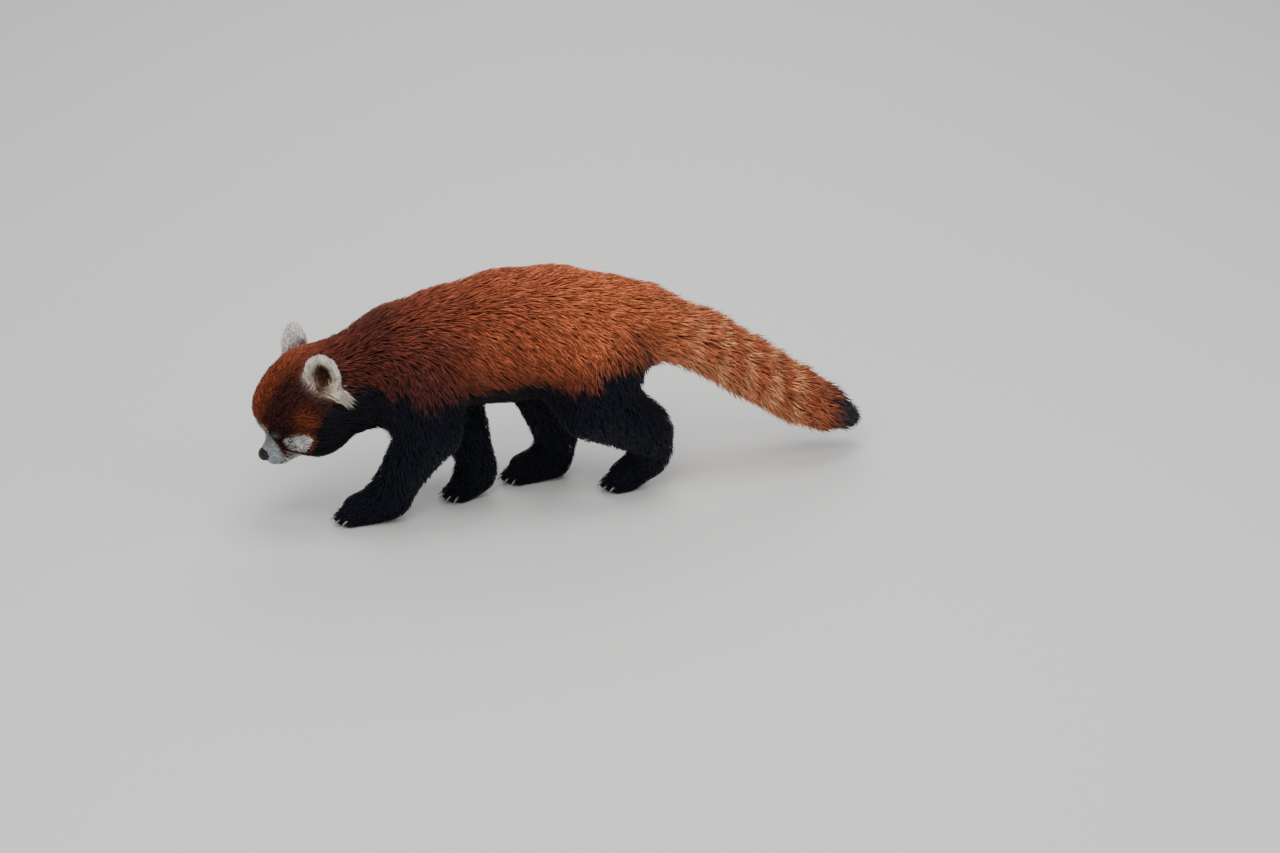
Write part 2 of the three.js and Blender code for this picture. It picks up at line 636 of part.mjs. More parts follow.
for (const side of [1, -1]) headWhole = headWhole.add(eyeLid(side));
const eyes = {};
for (const [name, side] of [["eye_left", 1], ["eye_right", -1]]) {
  const at = [eye.at[0], eye.at[1], side * eye.at[2]];
  const round = (r) => ball(at, [r, r, r], 10, 7);
  eyes[name] = round(eye.radius);
  headWhole = headWhole.subtract(round(eye.radius + gap));
}
const noseRadii = (more) => nose.radii.map((r) => r + more);
let noseTip = ball(nose.at, noseRadii(0), 12, 8);
for (const side of [1, -1]) {
  noseTip = noseTip.subtract(ball([nose.at[0] + 7.6, nose.at[1] - 1.5, side * 4.6], [3, 2, 2.2], 6, 4));
}
const head = largest(headWhole.subtract(ball(nose.at, noseRadii(gap), 12, 8)));

const finish = (color, roughness) => new THREE.MeshStandardMaterial({ color, roughness, metalness: 0 });
const redCoat = finish(0x8a3218, 0.85);
const blackCoat = finish(0x15131a, 0.85);
const whiteCoat = finish(0xd8cfc4, 0.85);
const wetNose = finish(0x17141a, 0.35);
const darkEye = finish(0x120c08, 0.08);

const panda = new THREE.Group();
function place(pieces, material) {
  for (const [name, piece] of Object.entries(pieces)) {
    const mesh = new THREE.Mesh(geometryOf(piece), material);
    mesh.name = name;
    panda.add(mesh);
  }
}
place({ head, neck, torso, tail }, redCoat);
place({ tail_tip: tailTip, ...limbs }, blackCoat);
place(ears, whiteCoat);
place({ nose: noseTip }, wetNose);
place(eyes, darkEye);

const box = new THREE.Box3().setFromObject(panda);
const middle = box.getCenter(new THREE.Vector3());
panda.position.set(-Math.round(middle.x * 10) / 10, -Math.round(middle.y * 10) / 10, 0);

export default panda;
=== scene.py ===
# A red panda at life size: skin, fur, face and claws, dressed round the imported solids.
# The body's lines are in millimetres, nose towards -X, and toFrame() brings them to metres in the frame.
import math
import bpy
import numpy as np
from mathutils import Matrix, Vector


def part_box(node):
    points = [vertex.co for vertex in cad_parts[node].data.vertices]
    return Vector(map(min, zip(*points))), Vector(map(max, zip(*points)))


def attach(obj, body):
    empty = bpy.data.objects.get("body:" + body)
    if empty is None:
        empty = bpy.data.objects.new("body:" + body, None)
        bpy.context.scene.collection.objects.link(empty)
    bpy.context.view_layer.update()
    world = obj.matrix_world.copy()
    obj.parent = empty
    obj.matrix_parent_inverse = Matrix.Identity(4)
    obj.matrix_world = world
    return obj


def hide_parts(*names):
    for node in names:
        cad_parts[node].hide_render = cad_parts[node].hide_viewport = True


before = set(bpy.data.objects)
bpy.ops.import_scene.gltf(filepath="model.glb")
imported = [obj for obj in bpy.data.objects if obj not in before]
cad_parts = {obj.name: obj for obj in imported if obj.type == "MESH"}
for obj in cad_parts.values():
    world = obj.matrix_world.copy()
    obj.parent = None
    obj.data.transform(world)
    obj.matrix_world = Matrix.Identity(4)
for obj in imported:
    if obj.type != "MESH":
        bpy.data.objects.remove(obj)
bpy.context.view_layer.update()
print("frame loaded", len(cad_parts), "nodes")

# Body lines: x, y, z, radius out to the tips of the coat
body = {
    "torso": [(-165, 0, 189, 69), (-110, 0, 204, 71), (-45, 0, 210, 78), (15, 0, 210, 77), (70, 0, 205, 67),
              (108, 0, 206, 48)],
    "neck": [(-165, 0, 189, 69), (-222, 0, 172, 58), (-258, 0, 160, 53)],
    "tail": [(104, 0, 208, 44), (140, 1, 203, 38), (200, 4, 174, 36), (260, 10, 129, 35), (320, 17, 84, 33),
             (358, 22, 60, 27), (388, 26, 43, 12)],
    "legs": {
        "foreleg_left": [(-156, -32, 180, 48), (-142, -40, 120, 37), (-184, -24, 44, 25)],
        "foreleg_right": [(-134, 32, 180, 46), (-98, 36, 120, 34), (-76, 18, 44, 23)],
        "hindleg_left": [(62, -32, 180, 52), (54, -38, 130, 45), (124, -22, 76, 30), (132, -16, 52, 24)],
        "hindleg_right": [(48, 32, 180, 50), (12, 42, 122, 39), (28, 42, 56, 27)],
    },
    "paws": {
        "forepaw_left": [(-190, -22, 26, 24), (-226, -19, 15, 20)],
        "forepaw_right": [(-76, 16, 26, 22), (-92, 13, 15, 19)],
        "hindpaw_left": [(124, -14, 34, 22), (98, -12, 15, 20)],
        "hindpaw_right": [(22, 41, 24, 24), (-12, 40, 15, 20)],
    },
    "narrowing": 0.92, "joint": 6,
}
head = {
    "centre": (-281, 2, 146), "pitch": -32, "turn": 9,
    "skull": ((-13, 9, 0), (58, 52, 54)),
    "forehead": ((18, 21, 0), (35, 29, 38)),
    "cheek": ((2, -18, 30), (36, 31, 32)),
    "muzzle": ((28, -14, 0), (59, -21, 0), 26, 15.5),
    "jaw": ((10, -30, 0), (52, -33, 0), 24, 10),
    "nose": (71, -17, 0), "eye": (42.6, 6.3, 19.6), "eyeRadius": 7, "eyeLook": (0.72, 0.12, 0.68),
    "ear": (-35, 42.5, 48), "earRadii": (10, 29, 20.5), "earCup": 13,
    "earFacing": (0.55, 0.15, 0.82), "earTip": (-0.45, 0.88, 0.14),
    "cupRise": 3, "cupHeight": 0.74, "cupWidth": 0.7,
}
toes = {"count": 5, "spread": 0.5, "radii": (10, 6, 7), "height": 8.5, "reach": 0.92, "rounding": 0.09,
        "facing": 0.45}
# How softly each form runs into the next
blends = {"neck": 14, "tail": 22, "legs": 26, "paws": 12, "head": 26, "ears": 8, "toe": 1.5, "toes": 3,
          "forehead": 20, "cheek": 22, "muzzle": 16, "jaw": 10}


def unit(v):
    return np.asarray(v, float) / np.linalg.norm(v)


def unitRows(v):
    return v / np.maximum(np.linalg.norm(v, axis=1), 1e-6)[:, None]


pitch, turn = math.radians(head["pitch"]), math.radians(head["turn"])
ahead = np.array([-math.cos(turn), -math.sin(turn), 0.0])
headForward = ahead * math.cos(pitch) + np.array([0, 0, math.sin(pitch)])
headUp = -ahead * math.sin(pitch) + np.array([0, 0, math.cos(pitch)])
headLeft = np.array([math.sin(turn), -math.cos(turn), 0.0])
headAxes = np.array([headForward, headUp, headLeft])
headCentre = np.array(head["centre"], float)


def fromHead(q):
    return headCentre + np.asarray(q, float) @ headAxes


def inHead(p):
    return (p - headCentre) @ headAxes.T


# The frame's origin lies under the middle of the whole box, so an eye shows how far the lines have to move
eyeLow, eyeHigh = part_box("eye_left")
shift = np.array((eyeLow + eyeHigh) / 2) - fromHead(head["eye"]) * 0.001
print("shift to the frame", shift.round(5))


def toFrame(p):
    return np.asarray(p, float) * 0.001 + shift


# Distance fields, negative inside, for arrays of points
def blended(a, b, k):
    h = np.maximum(k - np.abs(a - b), 0) / k
    return np.minimum(a, b) - h * h * k / 4


def limb(p, a, b, ra, rb):
    along = b - a
    rel = p - a
    t = np.clip(rel @ along / (along @ along), 0, 1)
    return np.sqrt(((rel - t[:, None] * along) ** 2).sum(1)) - (ra + (rb - ra) * t)


def chain(p, line, narrowing=1.0):
    squeeze = np.array([1, narrowing, 1])
    q = p / squeeze
    ends = np.array([s[:3] for s in line]) / squeeze
    d = None
    for i in range(1, len(line)):
        part = limb(q, ends[i - 1], ends[i], line[i - 1][3], line[i][3])
        d = part if d is None else blended(d, part, body["joint"])
    return d


def ellipsoid(q, centre, radii):
    rel = (q - np.array(centre, float)) / np.array(radii, float)
    near = np.sqrt((rel ** 2).sum(1))
    steep = np.sqrt(((rel / np.array(radii, float)) ** 2).sum(1))
    return near * (near - 1) / np.maximum(steep, 1e-9)


def turned(q, axis, degrees):
    a = math.radians(degrees)
    u, w = [(1, 2), (2, 0), (0, 1)][axis]
    out = q.copy()
    out[:, u] = q[:, u] * math.cos(a) - q[:, w] * math.sin(a)
    out[:, w] = q[:, u] * math.sin(a) + q[:, w] * math.cos(a)
    return out


def mirrored(q):
    out = q.copy()
    out[:, 2] = np.abs(out[:, 2])
    return out


earOut = unit(head["earFacing"])
earAcross = unit(np.cross(earOut, head["earTip"]))
earAxes = np.array([earOut, np.cross(earAcross, earOut), earAcross])


def inEar(q):  # ear frame: x out of the cup, y up to the tip, z across
    return (mirrored(q) - np.array(head["ear"], float)) @ earAxes.T


def cupField(e):
    depth, height, width = head["earRadii"]
    radii = (depth + 5, height * head["cupHeight"], width * head["cupWidth"])
    return ellipsoid(e, (head["earCup"], head["cupRise"], 0), radii)


def earField(q):
    e = inEar(q)
    return np.maximum(ellipsoid(e, (0, 0, 0), head["earRadii"]), -cupField(e))


def headField(q):
    m = mirrored(q)
    d = ellipsoid(q, *head["skull"])
    d = blended(d, ellipsoid(q, *head["forehead"]), blends["forehead"])
    d = blended(d, ellipsoid(m, *head["cheek"]), blends["cheek"])
    for name in ("muzzle", "jaw"):
        a, b, ra, rb = head[name]
        d = blended(d, limb(q, np.array(a, float), np.array(b, float), ra, rb), blends[name])
    return d


def toeCentres(line):
    (hx, hy, _, _), (tx, ty, _, ball) = line
    heading = math.atan2(ty - hy, tx - hx)
    for i in range(toes["count"]):
        off = i - (toes["count"] - 1) / 2
        fan = off * toes["spread"]
        reach = ball * (toes["reach"] - toes["rounding"] * abs(off))
        place = (tx + math.cos(heading + fan) * reach, ty + math.sin(heading + fan) * reach, toes["height"])
        yield np.array(place), heading + fan * toes["facing"]


def toeField(p, line):
    d = None
    for centre, facing in toeCentres(line):
        rel = turned(p - centre, 2, -math.degrees(facing))
        part = ellipsoid(rel, (0, 0, 0), toes["radii"])
        d = part if d is None else blended(d, part, blends["toe"])
    return d


# The coat in each region: depth over the skin, tufts to the square centimetre, their length, width, lift
coatTable = {
    "torso": (8, 15, 31, 1.9, 1.2), "neck": (8, 16, 25, 1.7, 1.5), "tail": (8, 17, 27, 1.8, 4.0),
    "legs": (6, 13, 17, 1.7, 1.5), "paws": (2.2, 26, 6, 1.2, 0.4), "head": (4, 40, 9, 1.0, 0.8),
    "muzzle": (1.2, 70, 3.4, 0.7, 0.2), "ears": (1.2, 60, 8.5, 0.9, 1.6),
}
regions = list(coatTable)
columns = (dict(zip(regions, column)) for column in zip(*coatTable.values()))
coatDepth, furDensity, furLength, furWidth, furLift = columns
regionEdge = {"softness": 5, "earGain": 2.6, "earInset": 1, "snout": 52, "snoutSlant": 0.2, "snoutSoft": 3}
skinSettings = {"cell": 2.6, "low": (-374, -100, -8), "high": (402, 100, 300), "socket": 0.4, "sole": 0.6,
                "toeDepth": 0.8, "toeTop": 24}


def distances(p):
    q = inHead(p)
    parts = {
        "torso": chain(p, body["torso"], body["narrowing"]),
        "neck": chain(p, body["neck"], body["narrowing"]),
        "tail": chain(p, body["tail"]),
        "head": headField(q),
        "ears": earField(q),
    }
    for group in ("legs", "paws"):
        parts.update({name: chain(p, line) for name, line in body[group].items()})
    return parts, q


def joined(parts):
    d = parts["torso"]
    for name in ("neck", "tail"):
        d = blended(d, parts[name], blends[name])
    for group in ("legs", "paws"):
        for name in body[group]:
            d = blended(d, parts[name], blends[group])
    for name in ("head", "ears"):
        d = blended(d, parts[name], blends[name])
    return d


def weights(parts, q):
    behind = regionEdge["snout"] - q[:, 0] + regionEdge["snoutSlant"] * np.maximum(q[:, 1], -30)
    snout = 1 / (1 + np.exp(behind / regionEdge["snoutSoft"]))
    near = {n: parts[n] for n in ("torso", "neck", "tail")}
    near.update({group: np.min([parts[n] for n in body[group]], axis=0) for group in ("legs", "paws")})
    near["head"] = parts["head"]
    near["ears"] = regionEdge["earGain"] * parts["ears"] - regionEdge["earInset"]
    w = {n: np.exp(-np.clip(d, -60, 60) / regionEdge["softness"]) for n, d in near.items()}
    w["muzzle"] = w["head"] * snout
    w["head"] = w["head"] * (1 - snout)
    total = sum(w.values())
    return {n: v / total for n, v in w.items()}


def mixedOf(w, table):
    return sum(w[n] * table[n] for n in regions)


def skinField(p):
    parts, q = distances(p)
    d = joined(parts) + mixedOf(weights(parts, q), coatDepth)
    eyeGap = np.sqrt(((mirrored(q) - np.array(head["eye"])) ** 2).sum(1)) - head["eyeRadius"]
    d = np.maximum(d, skinSettings["socket"] - eyeGap)
    near = p[:, 2] < skinSettings["toeTop"]
    if near.any():
        d = d.copy()
        low = p[near]
        for line in body["paws"].values():
            d[near] = blended(d[near], toeField(low, line) + skinSettings["toeDepth"], blends["toes"])
    return np.maximum(d, skinSettings["sole"] - p[:, 2])  # soles flat, just clear of the floor


def slope(field, p, e=0.2):
    out = np.empty_like(p)
    for i in range(3):
        step = np.zeros(3)
        step[i] = e
        out[:, i] = (field(p + step) - field(p - step)) / (2 * e)
    return out


def normals(field, p):
    return unitRows(slope(field, p))


def ontoLevel(field, p, level=0.0, steps=2, most=6.0):
    start = p.copy()
    for _ in range(steps):
        g = slope(field, p)
        move = ((level - field(p)) / np.maximum((g ** 2).sum(1), 0.25))[:, None] * g
        p = p + move
    off = p - start
    far = np.linalg.norm(off, axis=1)
    return start + off * np.minimum(1, most / np.maximum(far, 1e-9))[:, None]


# Meshing: one point in each grid cell that the surface crosses
def gridValues(field, low, high, cell, block=5):
    n = (np.ceil((high - low) / cell / block).astype(int)) * block + 1
    axes = [low[i] + cell * np.arange(n[i]) for i in range(3)]
    coarse = np.stack(np.meshgrid(*[a[::block] for a in axes], indexing="ij"), -1).reshape(-1, 3)
    rough = field(coarse).reshape([len(a[::block]) for a in axes])
    active = np.zeros(np.array(rough.shape) - 1, bool)
    band = cell * block * 1.1
    near = np.abs(rough) < band
    for corner in np.ndindex(2, 2, 2):
        active |= near[tuple(slice(c, c + s) for c, s in zip(corner, active.shape))]
    values = rough[:-1, :-1, :-1]
    for axis in range(3):
        values = np.repeat(values, block, axis)
        active = np.repeat(active, block, axis)
    values = np.pad(values, [(0, 1)] * 3, mode="edge")
    active = np.pad(active, [(0, 1)] * 3, mode="edge")
    index = np.argwhere(active)
    points = low + cell * index
    for part in np.array_split(np.arange(len(points)), max(1, len(points) // 200000)):
        values[tuple(index[part].T)] = field(points[part])
    return values


def surfaceNet(values, low, cell):
    n = values.shape
    inside = values < 0
    cells = tuple(s - 1 for s in n)
    total = np.zeros((int(np.prod(cells)), 3))
    count = np.zeros(int(np.prod(cells)))
    quads = []
    for axis in range(3):
        u, w = (axis + 1) % 3, (axis + 2) % 3
        lower, upper = (tuple(slice(k, s - 1 + k) if i == axis else slice(0, s) for i, s in enumerate(n))
                        for k in (0, 1))
        at = np.argwhere(inside[lower] != inside[upper])
        at = at[(at[:, u] > 0) & (at[:, w] > 0) & (at[:, u] < n[u] - 1) & (at[:, w] < n[w] - 1)]
        ahead = at.copy()
        ahead[:, axis] += 1
        a, b = values[tuple(at.T)], values[tuple(ahead.T)]
        point = at.astype(float)
        point[:, axis] += a / (a - b)
        around = []
        for du, dw in ((1, 1), (0, 1), (0, 0), (1, 0)):
            place = at.copy()
            place[:, u] -= du
            place[:, w] -= dw
            flat = np.ravel_multi_index(place.T, cells)
            around.append(flat)
            for i in range(3):
                total[:, i] += np.bincount(flat, point[:, i], len(count))
            count += np.bincount(flat, minlength=len(count))
        quad = np.stack(around, 1)
        quads.append(np.where((a < 0)[:, None], quad, quad[:, ::-1]))
    quads = np.concatenate(quads)
    used = np.nonzero(count)[0]
    number = np.full(len(count), -1)
    number[used] = np.arange(len(used))
    points = low + cell * (total[used] / count[used][:, None])
    return points, number[quads]


def inScene(name, data):
    obj = bpy.data.objects.new(name, data)
    bpy.context.scene.collection.objects.link(obj)
    return obj


def addObject(name, points, faces):
    mesh = bpy.data.meshes.new(name)
    flat = np.concatenate([np.asarray(f).reshape(-1) for f in faces]).astype(np.int32)
    sizes = np.concatenate([np.full(len(f), np.asarray(f).shape[1]) for f in faces]).astype(np.int32)
    starts = np.concatenate([[0], np.cumsum(sizes)[:-1]]).astype(np.int32)
    mesh.vertices.add(len(points))
    mesh.vertices.foreach_set("co", toFrame(points).astype(np.float32).ravel())
    mesh.loops.add(len(flat))
    mesh.loops.foreach_set("vertex_index", flat)
    mesh.polygons.add(len(sizes))
    mesh.polygons.foreach_set("loop_start", starts)
    mesh.polygons.foreach_set("loop_total", sizes)
    mesh.update(calc_edges=True)
    mesh.validate()
    mesh.polygons.foreach_set("use_smooth", np.ones(len(mesh.polygons), bool))
    return inScene(name, mesh)


# The coat's lie: the way the hair points at each place, before it is laid along the skin
tailLine = np.array(body["tail"], float)
comb = {"flankDrop": 0.95, "neckRise": 0.15, "neckDrop": 0.8, "legBack": 0.30, "pawDrop": 0.5,
        "faceSpread": 1.25, "cheekDrop": 0.35, "earBack": 0.15, "earRoot": 16}


def tailHeading(p):
    seg = np.diff(tailLine[:, :3], axis=0)
    mid = (tailLine[1:, 0] + tailLine[:-1, 0]) / 2
    dirs = seg / np.linalg.norm(seg, axis=1)[:, None]
    return np.stack([np.interp(p[:, 0], mid, dirs[:, i]) for i in range(3)], 1)


def smooth(x, low, high):
    t = np.clip((x - low) / (high - low), 0, 1)
    return t * t * (3 - 2 * t)


def lieAt(p, q, w):
    flank = smooth(np.abs(p[:, 1]), 12, 70)
    one, none = np.ones(len(p)), np.zeros(len(p))
    trunk = np.stack([one, none, -comb["flankDrop"] * flank], 1)
    neck = np.stack([one, none, comb["neckRise"] - comb["neckDrop"] * flank], 1)
    leg = np.stack([comb["legBack"] * one, none, -one], 1)
    paw = np.stack([-one, none, -comb["pawDrop"] * one], 1)
    away = q - np.array([head["nose"][0] - 6, head["nose"][1] - 4, 0])
    away[:, 2] *= comb["faceSpread"]
    face = away @ headAxes
    face[:, 2] -= comb["cheekDrop"] * np.abs(q[:, 2])
    e = inEar(q)
    outward = np.stack([-comb["earBack"] * (e[:, 0] < -2), e[:, 1] + comb["earRoot"], e[:, 2]], 1) @ earAxes
    outward[:, 2] *= np.sign(q[:, 2])
    ways = {"torso": trunk, "neck": neck, "tail": tailHeading(p), "legs": leg, "paws": paw, "head": face,
            "muzzle": face, "ears": outward @ headAxes}
    return sum(w[n][:, None] * unitRows(v) for n, v in ways.items())


# Colours as they look in even light, made linear, save the head's tones, which carry painted shade
def tone(r, g, b):
    return (np.array([r, g, b]) / 255.0) ** 2.2


paint = {
    "rust": tone(152, 77, 50), "orange": tone(194, 106, 66), "shoulder": tone(80, 36, 30),
    "darkRed": tone(64, 32, 28), "black": tone(13, 14, 26), "tail": tone(190, 110, 72),
    "tailPale": tone(224, 160, 114), "tailDark": tone(152, 74, 48), "tailTip": tone(42, 37, 44),
    # The head's face, faceOrange, white and muzzle tones are painted darker than the coat's own colours:
    # painted shade over the head
    "face": tone(56, 26, 22), "faceOrange": tone(164, 80, 44), "white": tone(210, 206, 202),
    "muzzle": tone(168, 174, 180), "stripe": tone(46, 21, 15), "cream": tone(226, 202, 172),
    "earDark": tone(40, 27, 21),
}
# Where the black of the belly and legs ends, as x and height, and the same line on the head
blackLine = np.array([(-300, 166), (-261, 172), (-230, 187), (-205, 190), (-177, 184), (-150, 170),
                      (-117, 171), (-81, 172), (-32, 174), (40, 170), (64, 192), (92, 196), (112, 200),
                      (118, 60), (130, 0)], float)
headLine = np.array([(-70, 8), (-26, 10), (-8, 7), (8, 0), (21, -16), (34, -42), (60, -60)], float)
cheekPatch = {"at": (33, -9), "half": (15, 13), "slope": 0.55, "lean": 0.2}
rings = {"first": 128, "step": 40, "share": 0.40, "soft": 0.22, "brush": (272, 304)}


def mixed(base, colour, amount):
    return base + (np.asarray(colour) - base) * np.clip(amount, 0, 1)[:, None]


def wobble(p, size, seed):  # smooth noise from a few waves, between -1 and 1
    rng = np.random.default_rng(seed)
    total = np.zeros(len(p))
    for _ in range(6):
        wave = rng.normal(size=3)
        wave *= 2 * math.pi / size / np.linalg.norm(wave)
        total += np.sin(p @ wave + rng.uniform(0, 6.28))
    return total / 3.2


def tailShare(p):
    seg = tailLine[:, 0]
    lengths = np.concatenate([[0], np.cumsum(np.linalg.norm(np.diff(tailLine[:, :3], axis=0), axis=1))])
    return np.interp(p[:, 0], seg, lengths)


def layered(p, base, *layers):  # paints laid over each other, each with its share
    colour = np.tile(paint[base], (len(p), 1))
    for name, share in layers:
        colour = mixed(colour, paint[name], share)
    return colour


def trunkColour(p):
    x, y, z = p.T
    jagged = 7 * wobble(p, 26, 3) + 4 * wobble(p, 9, 4)
    withers = np.exp(-(((x + 200) / 26) ** 2 + (np.abs(y) / 42) ** 2)) * smooth(z, 188, 212)
    under = np.interp(x, *blackLine.T) - z
    return layered(
        p, "rust",
        # orange over the rump, strongest high on the back: partly the coat's orange, partly painted light
        # from above on the top of the back
        ("orange", smooth(x, -70, 70) * smooth(z, 150, 215) * 0.75),  # rump
        ("orange", 0.35 * smooth(wobble(p, 60, 5), 0.1, 0.9)),  # loose flecks
        ("shoulder", smooth(-x, 25, 165) * (0.85 - 0.35 * smooth(z, 215, 262))),
        ("black", 0.5 * withers),
        # dark red in a band above the black line: partly the coat's darker border, partly painted shade low
        # on the flank
        ("darkRed", smooth(under, -46, 4) * 0.65),
        ("black", smooth(under + jagged, -3, 3)))


def tailColour(p):
    s = tailShare(p)
    phase = ((s - rings["first"] + 5 * wobble(p, 24, 8)) / rings["step"]) % 1
    edge = 0.5 - rings["share"]
    dark = smooth(np.abs(phase - 0.5), edge, edge + rings["soft"])
    below = np.interp(p[:, 0], tailLine[:, 0], tailLine[:, 2]) - p[:, 2]
    return layered(
        p, "tail",
        ("tailPale", 0.5 * (1 - dark) * smooth(s, 40, 90)),
        ("tailDark", 0.5 * dark * smooth(s, 60, 120)),
        ("tailDark", 0.75 * smooth(s, 225, 262)),  # the last, rust ring
        ("tailPale", 0.3 * smooth(below, 2, 28) * (1 - smooth(s, 240, 270))),
        ("tailTip", smooth(s + 6 * wobble(p, 14, 9), *rings["brush"])))


def headColour(p, q):
    f, u, l = q[:, 0], q[:, 1], np.abs(q[:, 2])
    edge = 1.6 * wobble(p, 11, 12) + 0.8 * wobble(p, 5, 13)
    glow = np.exp(-(((f - 9) / 13) ** 2 + ((u - 15) / 12) ** 2)) * smooth(l, 34, 46)
    neckBlack = smooth(np.interp(f, *headLine.T) + 2 * edge - u, -2, 2) * smooth(32 - f, -4, 6)
    a, b = cheekPatch["half"]
    df, du = f - cheekPatch["at"][0], u - cheekPatch["at"][1]
    patch = np.sqrt(((df + cheekPatch["slope"] * du) / a) ** 2 + ((du - cheekPatch["lean"] * df) / b) ** 2)
    fringe = np.exp(-((patch - 1.22) / 0.13) ** 2) * smooth(l, 30, 40) * smooth(-df, -4, 8)
    tear = np.exp(-(((f - 48.5 - 0.05 * (u + 8)) / 3.2) ** 2)) * smooth(3 - u, 0, 4) * smooth(u + 34, 0, 6)
    brow = np.sqrt(((f - 51) / 4) ** 2 + ((u - 17.5) / 6.5) ** 2 + ((l - 13.5) / 4.6) ** 2)
    return layered(
        p, "face",
        ("faceOrange", 0.5 * (1 - smooth(l + edge, 8, 30)) * smooth(f + u, 8, 40)),  # forehead
        ("rust", 0.8 * smooth(-f, 0, 40) * smooth(u, 20, 50)),  # crown
        ("faceOrange", 0.5 * glow),
        ("black", neckBlack),
        ("black", smooth(-u - 44 + edge, -2, 2) * smooth(36 - f, -3, 3)),  # throat
        ("white", smooth(1 - patch + 0.05 * edge, -0.07, 0.07) * smooth(l, 22, 27)),
        ("faceOrange", 0.4 * fringe),
        ("muzzle", smooth(f - 51.5 + 0.22 * np.minimum(u + 8, 0) + 0.5 * edge, -1.5, 1.5)),
        ("muzzle", 0.9 * smooth(f - 30, -3, 3) * smooth(-u - 33, -2, 2)),  # chin
        ("stripe", 0.95 * tear * smooth(l, 9, 14)),
        ("cream", smooth(1 - brow, -0.25, 0.25)))


def earColour(p, q):
    e = inEar(q)
    inside = 1 - smooth(cupField(e), 2.6, 5)
    ring = np.sqrt(((e[:, 1] - 1) / 20) ** 2 + (e[:, 2] / 14) ** 2)
    back = smooth(-e[:, 0], 3, 7) * smooth(-e[:, 1] + 4 * wobble(p, 12, 22), -10, 4)
    return layered(
        p, "white",
        ("cream", 0.7 * inside * (1 - smooth(ring, 0.95, 1.35))),
        ("earDark", inside * (1 - smooth(ring + 0.1 * wobble(p, 9, 21), 0.5, 1.0))),
        ("face", 0.8 * smooth(-e[:, 1], 16, 26)),
        ("earDark", 0.9 * back))


def regionColour(p, q, w):
    trunk, face, black = trunkColour(p), headColour(p, q), layered(p, "black")
    legs = mixed(black, trunk, smooth(p[:, 2], 138, 156))
    table = {"torso": trunk, "neck": trunk, "legs": legs, "paws": black, "tail": tailColour(p), "head": face,
             "muzzle": face, "ears": earColour(p, q)}
    return sum(w[n][:, None] * table[n] for n in regions)


# Skin
low, high = np.array(skinSettings["low"], float), np.array(skinSettings["high"], float)
values = gridValues(skinField, low, high, skinSettings["cell"])
skinPoints, skinQuads = surfaceNet(values, low, skinSettings["cell"])
skinPoints = ontoLevel(skinField, skinPoints, 0.0, 2, skinSettings["cell"] * 0.5)
print("skin", len(skinPoints), "points", len(skinQuads), "quads")


def surroundings(p):
    parts, q = distances(p)
    return q, weights(parts, q)


def paintPoints(obj, colours, name="coat"):
    layer = obj.data.attributes.new(name, "FLOAT_COLOR", "POINT")
    rgba = np.ones((len(colours), 4), np.float32)
    rgba[:, :3] = np.clip(colours, 0, 1)
    layer.data.foreach_set("color", rgba.ravel())


skin = addObject("skin", skinPoints, [skinQuads])
skinQ, skinW = surroundings(skinPoints)
# The skin under the hair takes the coat's colours at 0.6 of their brightness: painted shade beneath the coat
paintPoints(skin, regionColour(skinPoints, skinQ, skinW) * 0.6)

# Roots of the fur, spread over the skin at each region's density
bare = {"sole": 2.5, "eye": 0.9, "nose": 9.5, "lidTips": 5.2}  # where no fur grows, or none may reach
furStart = np.random.default_rng(11)

triangles = np.concatenate([skinQuads[:, [0, 1, 2]], skinQuads[:, [0, 2, 3]]])
corners = skinPoints[triangles]
areas = np.linalg.norm(np.cross(corners[:, 1] - corners[:, 0], corners[:, 2] - corners[:, 0]), axis=1) / 2
density = mixedOf({n: skinW[n][triangles].mean(1) for n in regions}, furDensity) / 100
density *= corners[:, :, 2].mean(1) > bare["sole"]
wanted = np.cumsum(areas * density)
picks = np.arange(0, wanted[-1], 1.0) + furStart.uniform(0, 1, int(math.ceil(wanted[-1])))
chosen = np.minimum(np.searchsorted(wanted, picks), len(triangles) - 1)
r1, r2 = np.sqrt(furStart.uniform(0, 1, len(chosen))), furStart.uniform(0, 1, len(chosen))
mixing = np.stack([1 - r1, r1 * (1 - r2), r1 * r2], 1)
roots = (corners[chosen] * mixing[:, :, None]).sum(1)
rootQ, rootW = surroundings(roots)
eyeAway = np.linalg.norm(mirrored(rootQ) - np.array(head["eye"]), axis=1)
noseAway = np.linalg.norm(rootQ - np.array(head["nose"]), axis=1)
keep = (eyeAway > head["eyeRadius"] + bare["eye"]) & (noseAway > bare["nose"])
roots, rootQ, rootW = roots[keep], rootQ[keep], {n: v[keep] for n, v in rootW.items()}
print("fur", len(roots), "tufts")

tuftShape = {"shares": (0, 0.34, 0.68, 1), "rise": (-1.2, 0.5, 0.9, 1.0), "widths": (0.55, 1, 0.72, 0),
             "ridge": 0.38, "fade": (0, 0.45, 0.85, 1)}
tuftSides = ((0, 1), (1, 2), (2, 0))
tuftQuads = [(3 * k + a, 3 * k + b, 3 * k + 3 + b, 3 * k + 3 + a) for k in (0, 1) for a, b in tuftSides]
tuftTris = [(0, 2, 1), (6, 7, 9), (7, 8, 9), (8, 6, 9)]


